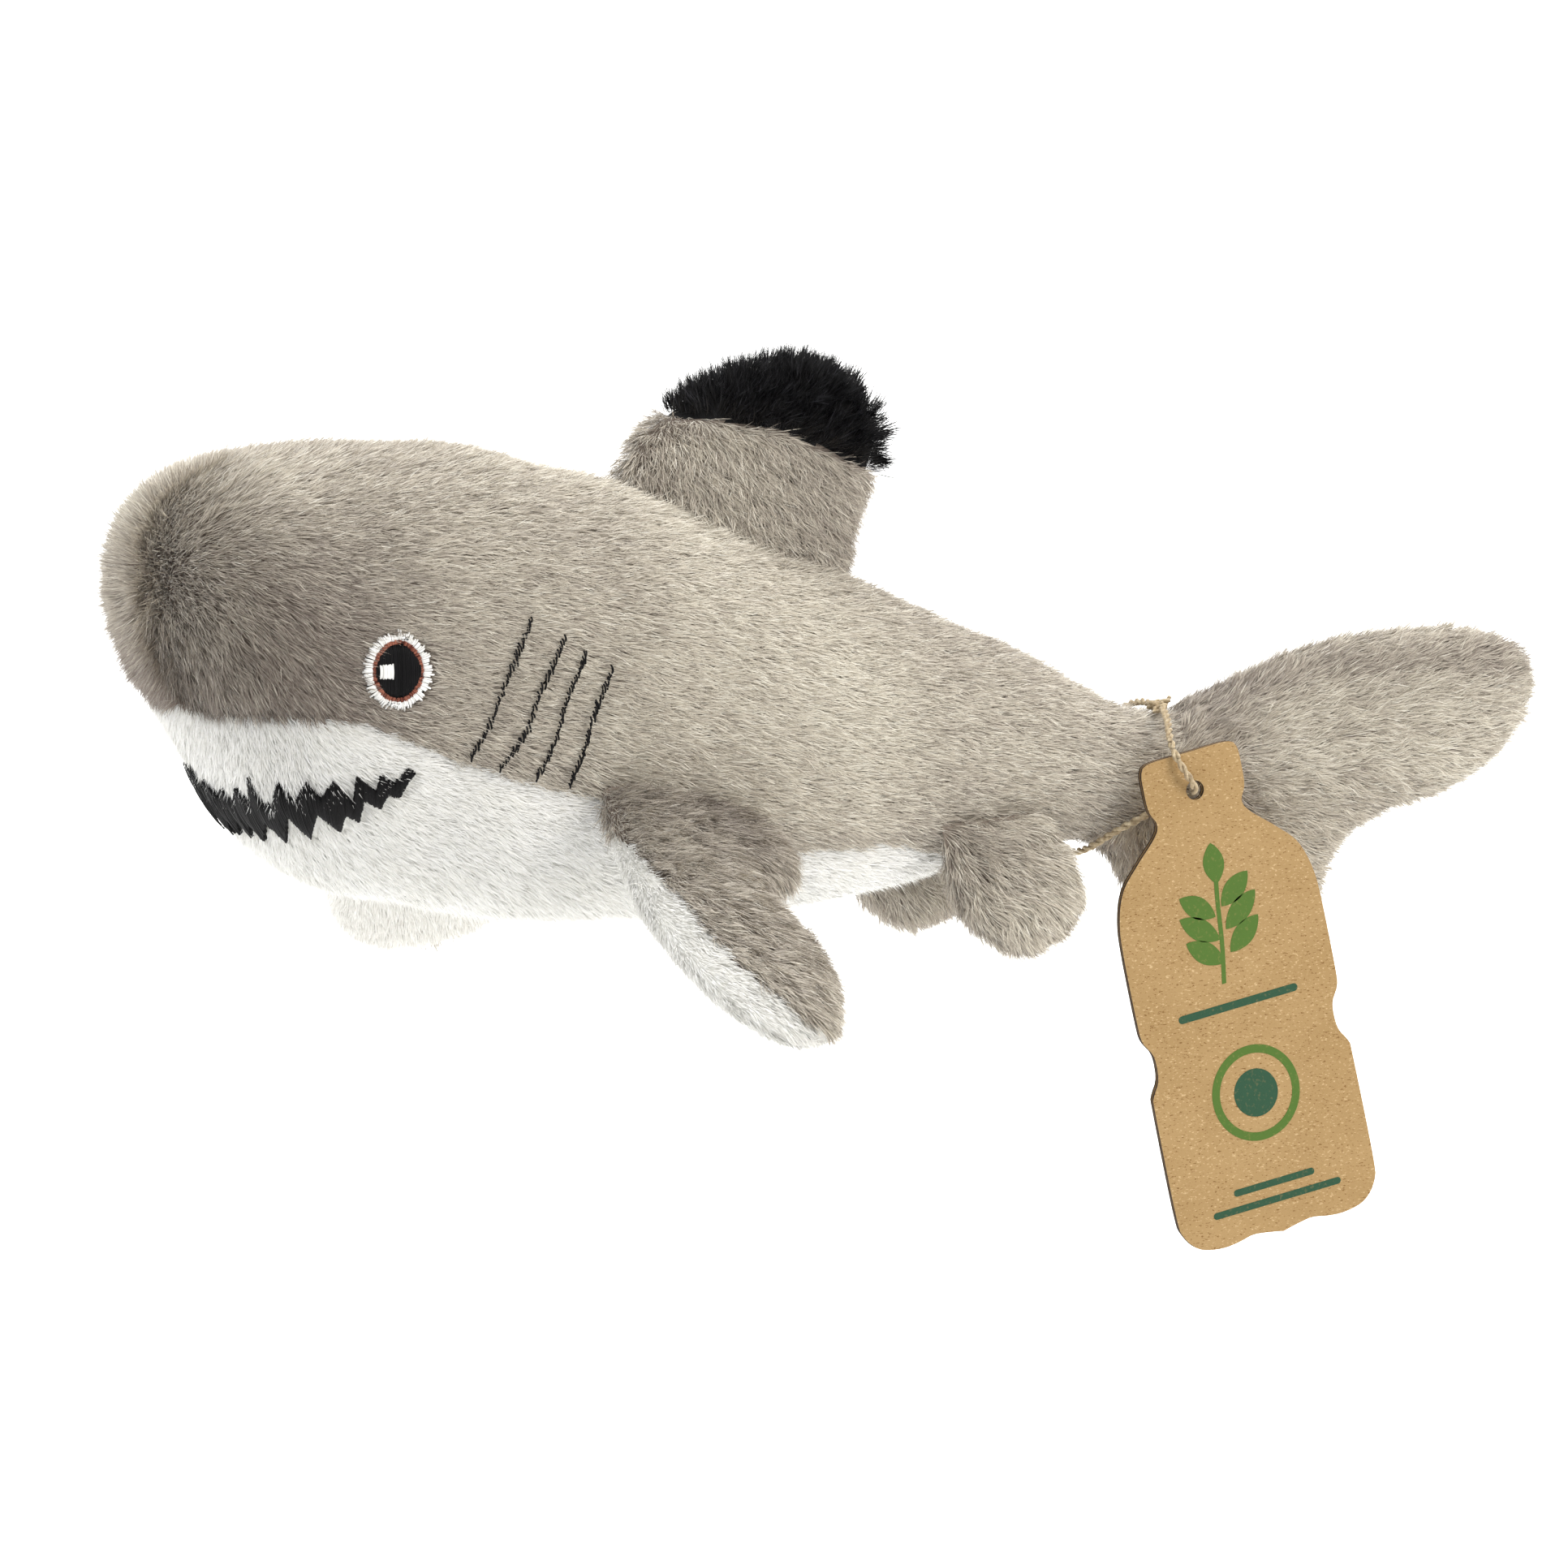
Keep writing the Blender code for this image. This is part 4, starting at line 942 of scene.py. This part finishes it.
def build_side_fin(name, side):
    """A pectoral or pelvic fin; the right one is the left one mirrored in the middle plane."""
    fin = SIDE_FINS[name]
    two_colours, seed = fin["two_colours"], fin["seed"] + side
    grid, u, turn = fin_grid(fin["edges"], 56, 89, fin["halves"], fin["axes"], fin["tuck"])
    place, along, out = fin["axes"][:3]
    if side == RIGHT:
        grid, place, along, out = (mirror(value) for value in (grid, place, along, out))
    # The white underside reaches round the fin's edge to a turn in degrees that grows outwards
    under = np.where(turn > pi, turn - 2 * pi, turn) < np.radians(np.interp(u, *WHITE_WRAP))
    kinds = np.where(under & two_colours, "white", "grey")
    node = f"{name}_{SIDE_NAMES[side]}"
    finish_fin(
        f"{node}_cloth", grid, kinds,
        (f"{node}_top", f"{node}_underside", f"{node}_stuffing"),
    )
    spots, up, below = sow(grid, seed, outside_trunk, under[..., None] * 1.0)
    white = (below[:, 0] > 0.5) & two_colours
    lie = unit(out * 0.8 + along * 0.5) + 0 * spots
    length = np.where(white, FIN_LENGTH * FIN_WHITE_SHARE, FIN_LENGTH)
    rough = np.where(white, 0.18, 0.4)
    hairs = comb(spots, up, lie, seed + 1, length, FIN_LEAN, jitter=0.5 * rough, clump=rough, clump_size=6.0)
    pale = white_tone(spots, seed + 2, 0.7 - WHITE_PAINTED_UNDERSIDE_SHADE[side] * facing_down(up))
    reach = np.maximum((spots - place) @ out, 0)
    # Painted shade: darker near the root, underneath and along the crease from the root towards the notch, added
    # to the side's own painted light and shade.
    painted_shading = fin["painted_shading"][side] - 0.16 * np.exp(-reach / 9.0) - 0.12 * facing_down(up)
    painted_crease_shade = bell((spots - place) @ along, 17.4 + 0.32 * reach, 2.2) * (reach < 27) * two_colours
    tone = np.where(white, pale, grey_tone(spots, seed + 3, painted_shading - 0.16 * painted_crease_shade))
    for kind in ("grey", "white") if two_colours else ("grey",):
        piece = hair_piece(f"{node}_{kind}_pile", hairs, tone, kind, white == (kind == "white"))
        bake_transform(piece)


TAIL_FRONT = [(67, 8.8), (67, 28), (67, 46.8)]
TAIL_TOP = [(67, 46.8), (82, 40.2), (97, 32.2), (112, 35.2), (130, 42.2), (148, 45.8), (167, 46.4)]
TAIL_BOTTOM = [
    (67, 8.8), (82, 10.4), (91, 7.4), (97, -1), (103, -9), (109, -17), (114, -21.5),
]
TAIL_REAR = [
    (114, -21.5), (122.5, -19.5), (132.5, -8), (136.5, 3.4), (147.5, 12.2), (166, 17.4),
    (179.4, 28.6), (179.6, 41), (167, 46.4),
]


FORK = (104.0, 0.0, 20.0)
TAIL_HALVES = ([0, 0.2, 0.36, 0.6, 1], [14.5, 12.6, 11.2, 9.2, 7.8])
# The darker streak along the upper lobe is painted shade.
TAIL_BAND = ([108, 120, 133, 158, 172], [32, 36.5, 39.5, 40.5, 40.5])     # height of a darker streak along X


def build_tail():
    """The tail's two lobes as one stuffed loop from the stock to its rear seam."""
    edges = (TAIL_FRONT, TAIL_REAR, TAIL_BOTTOM, TAIL_TOP)
    grid = fin_grid(edges, 110, 121, TAIL_HALVES, MIDDLE_PLANE, round_from=0.72)[0]
    kinds = np.full(grid.shape[:2], "grey")
    finish_fin(
        "tail_cloth", grid, kinds,
        ("tail_panel_left", "tail_panel_right", "tail_stuffing"),
    )
    place, up = sow(grid, 81, outside_trunk)
    x, y, z = place.T
    away = unit(place - FORK)
    lie = unit(away * [1.0, 0, 1.0] + [0.5, 0, 0])
    hairs = comb(place, up, lie, 82, TAIL_LENGTH, FIN_LEAN, clump=0.35)
    # Painted light and shade on the tail: a shaded streak along the upper lobe with the rest of the lobe paler,
    # and darker at the fork, under the stock and underneath.
    lobe = np.clip((x - FORK[0]) / 16.0, 0, 1)
    band = bell(z, np.interp(x, *TAIL_BAND), 4.4)
    painted_shading = -0.26 * band * lobe + 0.08 * lobe - 0.2 * bell(x, 112.0, 9.0)
    painted_shading = painted_shading - 0.15 * (z < 12) * (x < 112) - 0.12 * facing_down(up)
    tone = grey_tone(place, 83, painted_shading)
    for side_name, pick in (("left", y < 0), ("right", y >= 0)):
        piece = hair_piece(f"tail_pile_{side_name}", hairs, tone, "grey", pick)
        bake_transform(piece)


build_dorsal()
for side in (LEFT, RIGHT):
    build_side_fin("pectoral", side)
    build_side_fin("pelvic", side)
build_tail()


# ---- Embroidery

def lay(flat, side, centre, lift):
    """Puts flat embroidery points on the trunk's side: along X and Z from the centre, lifted off the cloth."""
    place = side_place(centre[0] + flat[..., 0], centre[1] + flat[..., 1], side)
    return place + trunk_normal(place) * lift[..., None]


def satin(name, starts, ends, side, centre, lift, arch, radius, kind, seed):
    """Rows of stitches from start to end, each an arched thread, side by side."""
    random = np.random.default_rng(seed)
    s = np.linspace(0, 1, 6)[None, :, None]
    flat = starts[:, None] * (1 - s) + ends[:, None] * s
    height = lift + arch * np.sin(pi * s[..., 0]) + 0.04 * random.normal(size=(len(starts), 1))
    lines = lay(flat, side, centre, height)
    tones = np.clip(0.5 + 0.28 * random.normal(size=len(starts)), 0, 1)
    piece = tube_piece(name, lines, radius, THREAD[kind], tones)
    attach(piece, "trunk")
    return piece


def thicken(thing, thickness):
    thing.modifiers.new("thick", "SOLIDIFY").thickness = thickness * MM


def ellipse(turn, across, tall):
    return np.stack([across * np.cos(turn), tall * np.sin(turn)], axis=-1)


# Rings round the eye: name, stitches, chance in turn and in reach, inner and outer ellipse, lift, radius, thread
EYE_RINGS = [
    ("white_ring", 104, 0.008, 0.042, (4.95, 5.6), (6.6, 6.95), 0.75, 0.2, "white"),
    ("rust_ring", 112, 0.01, 0.034, (3.9, 4.9), (5.1, 5.75), 0.72, 0.17, "brown"),
]


def upright_rows(name, x, tall, side, lift, arch, radius, kind, seed):
    """Upright stitches at each x, as far above the eye's middle as below it."""
    low, high = np.stack([x, -tall], -1), np.stack([x, tall], -1)
    satin(name, low, high, side, EYE_PLACE, lift, arch, radius, kind, seed)


def build_eye(side):
    """White, rust and black satin stitch with a white block for the glint, over a black ground: the pupil's own
    black, and painted shade where it shows between the white and rust stitches.
    """
    name = f"eye_{SIDE_NAMES[side]}"
    random = np.random.default_rng(91)
    flat = np.linspace(0.02, 1, 9)[:, None, None] * ellipse(np.linspace(0, 2 * pi, 97), 6.5, 6.7)[None]
    # The black ground shows between the ring stitches as painted shade.
    base = grid_mesh(f"{name}_ground", lay(flat, side, EYE_PLACE, np.full(flat.shape[:2], 0.15)))
    base.data.materials.append(THREAD["black"])
    thicken(base, 0.4)
    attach(base, "trunk")
    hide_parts(f"embroidered_eye_{SIDE_NAMES[side]}")
    for seed, (ring, count, shake, jag, inner, outer, lift, radius, kind) in enumerate(EYE_RINGS, 92):
        turn = np.linspace(0, 2 * pi, count, endpoint=False) + random.normal(size=count) * shake
        ends = ellipse(turn, *outer) * (1 + jag * random.normal(size=(count, 1)))
        satin(f"{name}_{ring}", ellipse(turn, *inner), ends, side, EYE_PLACE, lift, 0.35, radius, kind, seed)
    x = np.arange(-4.3, 4.31, 0.26)
    tall = 5.35 * np.sqrt(np.clip(1 - (x / 4.45) ** 2, 0, 1)) + 0.12 * random.normal(size=len(x))
    upright_rows(f"{name}_pupil", x, tall, side, lift=0.85, arch=0.45, radius=0.15, kind="black", seed=94)
    x = np.arange(-3.6, -1.1, 0.27)
    tall = 1.25 + 0.16 * random.normal(size=len(x))
    upright_rows(f"{name}_glint", x, tall, side, lift=1.35, arch=0.25, radius=0.16, kind="white", seed=95)


def build_gills(side):
    """Four lines of short slanting satin stitches, about 1.3 mm wide, sunk in the pile."""
    count = 36
    random = np.random.default_rng(101 + side)
    for number, line in enumerate(GILLS, 1):
        path = smooth_line(line, np.linspace(0, 1, count))
        over = unit(np.gradient(path, axis=0))
        aside = np.stack([-over[:, 1], over[:, 0]], axis=-1)
        reach = 0.72 + 0.24 * random.normal(size=(count, 1))
        slant = unit(aside * (0.8 + 0.3 * random.normal(size=(count, 1))) + over * 1.2) * reach
        middle = path + aside * 0.12 * random.normal(size=(count, 1))
        name = f"gill_{SIDE_NAMES[side]}_{number}_stitches"
        piece = satin(
            name, middle - slant, middle + slant, side, (0.0, 0.0),
            lift=1.35, arch=0.35, radius=0.19, kind="black", seed=102 + number,
        )
        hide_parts(f"gill_stitch_{SIDE_NAMES[side]}_{number}")


def build_mouth():
    """Upright satin stitches round the jaw between two jagged edges, over a black ground."""
    count = 440
    random = np.random.default_rng(111)
    turn = np.linspace(-MOUTH_TURN, MOUTH_TURN, count)
    low, high = (edge + 0.12 * random.normal(size=count) for edge in mouth_edges(turn))
    s = np.linspace(0, 1, 6)[None, :]
    z = low[:, None] * (1 - s) + high[:, None] * s
    way = np.stack([-np.cos(turn), np.sin(turn), 0 * turn], axis=-1)[:, None] + np.zeros(z.shape + (1,))
    place = cast(np.stack([MOUTH_CENTRE_X + 0 * z, 0 * z, z], axis=-1), way)
    out = trunk_normal(place)
    lines = place + out * (1.0 + 0.35 * np.sin(pi * s) + 0.05 * random.normal(size=(count, 1)))[..., None]
    tones = np.clip(0.4 + 0.28 * random.normal(size=count), 0, 1)
    piece = tube_piece("mouth_stitches", lines, 0.16, THREAD["black"], tones)
    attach(piece, "trunk")
    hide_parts("mouth_embroidery")
    ground = grid_mesh("mouth_ground", place + out * 0.75)
    ground.data.materials.append(THREAD["black"])
    thicken(ground, 0.5)
    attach(ground, "trunk")


for side in (LEFT, RIGHT):
    build_eye(side)
    build_gills(side)
build_mouth()


# ---- Tag

TAG_HOLE = np.array(JOINTS["tag_swing"]["pos_m"]) / MM
TAG_LEAN = radians(12.5)
LEAF_THICK, LEAF_LIFT = 0.62, 0.5
CARD_BEVEL = 0.06
PRINT_THICK = 0.06
PRINT_LIFT = LEAF_LIFT + LEAF_THICK / 2 + PRINT_THICK / 2
HOLE_RADIUS = 1.9
CARD_HALF = [
    (0, 7.4), (8.2, 7.3), (10.1, 6), (10.4, 3), (10.2, -1.6), (9, -4.4), (10.2, -6.8), (14.6, -10.8),
    (18.6, -15), (20.6, -20.5), (21.2, -27), (21.2, -41), (20.8, -44.2), (19.3, -46.8), (19, -49.6),
    (19.4, -52.4), (20.9, -55), (21.2, -58), (21.2, -78), (20.4, -82.6), (17.6, -85.6), (13.4, -86.6),
    (9.6, -86.4), (6.4, -85.8), (3, -86.2), (0, -86.8),
]


def card_piece(name, splines, lift, thick, material, bevel=0.0, edge=None):
    """Flat outlines filled and thickened, then stood up in the tag's plane and leaned as it hangs."""
    curve = bpy.data.curves.new(name, "CURVE")
    curve.dimensions = "2D"
    curve.fill_mode = "BOTH"
    curve.extrude = max(thick / 2 - bevel, 0.001) * MM
    curve.bevel_depth = bevel * MM
    for line in splines:
        spline = curve.splines.new("POLY")
        spline.use_cyclic_u = True
        spline.points.add(len(line) - 1)
        flat = np.column_stack([np.array(line) * MM, np.zeros(len(line)), np.ones(len(line))])
        spline.points.foreach_set("co", flat.ravel())
    source = new_object(name + "_outline", curve)
    bpy.context.view_layer.update()
    mesh = bpy.data.meshes.new_from_object(source.evaluated_get(bpy.context.evaluated_depsgraph_get()))
    bpy.data.objects.remove(source, do_unlink=True)
    mesh.name = name
    place = Matrix.Translation(Vector(TAG_HOLE) * MM) @ Matrix.Rotation(-TAG_LEAN, 4, "Y")
    mesh.materials.clear()
    mesh.materials.append(material)
    if edge:
        mesh.materials.append(edge)
        for face in mesh.polygons:
            face.material_index = int(abs(face.normal.z) < 0.5)
    mesh.transform(place @ Matrix.Rotation(pi / 2, 4, "X") @ Matrix.Translation((0, 0, lift * MM)))
    thing = new_object(name, mesh)
    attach(thing, "swing_tag")
    return thing


def circle(x, z, radius, count=40):
    turn = np.linspace(0, 2 * pi, count, endpoint=False)
    return np.stack([x + radius * np.cos(turn), z + radius * np.sin(turn)], axis=-1)


def leaf_shape(x, z, length, width, angle):
    """A pointed leaf: two sine arcs from stalk to tip, turned by angle."""
    s = np.linspace(0, 1, 15)
    edge = width / 2 * np.sin(pi * s) ** 0.8
    line = np.concatenate([np.stack([s * length, edge], -1), np.stack([s * length, -edge], -1)[-2:0:-1]])
    return line @ [[cos(angle), sin(angle)], [-sin(angle), cos(angle)]] + [x, z]


def bar(x, z, width, height):
    """A plain bar with round ends."""
    turn = np.linspace(-pi / 2, pi / 2, 9)
    half = np.stack([width / 2 + height / 2 * np.cos(turn), height / 2 * np.sin(turn)], -1)
    return np.concatenate([half, -half]) + [x, z]


def build_tag():
    """Two leaves of die-cut card, and print of a leaf sprig, bars and a ring round a dot on the front one."""
    kraft = kraft_material()
    # The board's cut edges are given a far darker brown than its faces.
    dark_edge = backing_material("die-cut board edge", "#2a1d13", "#463322")
    right = smooth_line(CARD_HALF, np.linspace(0, 1, 130))
    outline = np.concatenate([right, (right * [-1, 1])[-2:0:-1]])
    hole = circle(0, 0, HOLE_RADIUS)
    behind = outline * [0.992, 0.996]    # a little smaller, so that the two leaves part at the edge
    front = card_piece("tag_front_leaf", [outline, hole], LEAF_LIFT, LEAF_THICK, kraft, CARD_BEVEL, dark_edge)
    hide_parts("swing_tag")
    card_piece("tag_back_leaf", [behind, hole], -LEAF_LIFT, LEAF_THICK, kraft, CARD_BEVEL, dark_edge)

    olive, green = print_material("olive print ink", "#4c6a2a"), print_material("dark green print ink", "#2a4d38")
    stem = smooth_line([(-2.0, -37.5), (-0.8, -30.0), (0.0, -22.0), (0.6, -17.5)], np.linspace(0, 1, 20))
    stalk = np.concatenate([stem + [0.45, 0], (stem - [0.45, 0])[::-1]])
    leaves = [leaf_shape(0.6, -18.6, 8.0, 4.4, radians(88))]
    for z, length in ((-23.0, 8.5), (-27.5, 9.5), (-32.0, 9.0)):
        leaves.append(leaf_shape(0.6, z, length, 4.2, radians(38)))
        leaves.append(leaf_shape(-1.0, z - 1.6, length, 4.2, radians(142)))
    bars = [bar(0.0, -42.0, 24.0, 1.5), bar(0.0, -77.2, 16.0, 1.3), bar(0.0, -80.4, 26.0, 1.3)]
    ring = [circle(0, -59.5, 9.2, 64), circle(0, -59.5, 7.6, 64)]
    card_piece("tag_print_stalk", [stalk], PRINT_LIFT, PRINT_THICK, olive)
    for number, leaf in enumerate(leaves, 1):
        card_piece(f"tag_print_leaf_{number}", [leaf], PRINT_LIFT + 0.01, PRINT_THICK, olive)
    card_piece("tag_print_bars", bars, PRINT_LIFT, PRINT_THICK, green)
    card_piece("tag_print_ring", ring, PRINT_LIFT, PRINT_THICK, olive)
    card_piece("tag_print_round", [circle(0, -59.5, 4.6, 48)], PRINT_LIFT, PRINT_THICK, green)


build_tag()
build_stage()
build_lights()
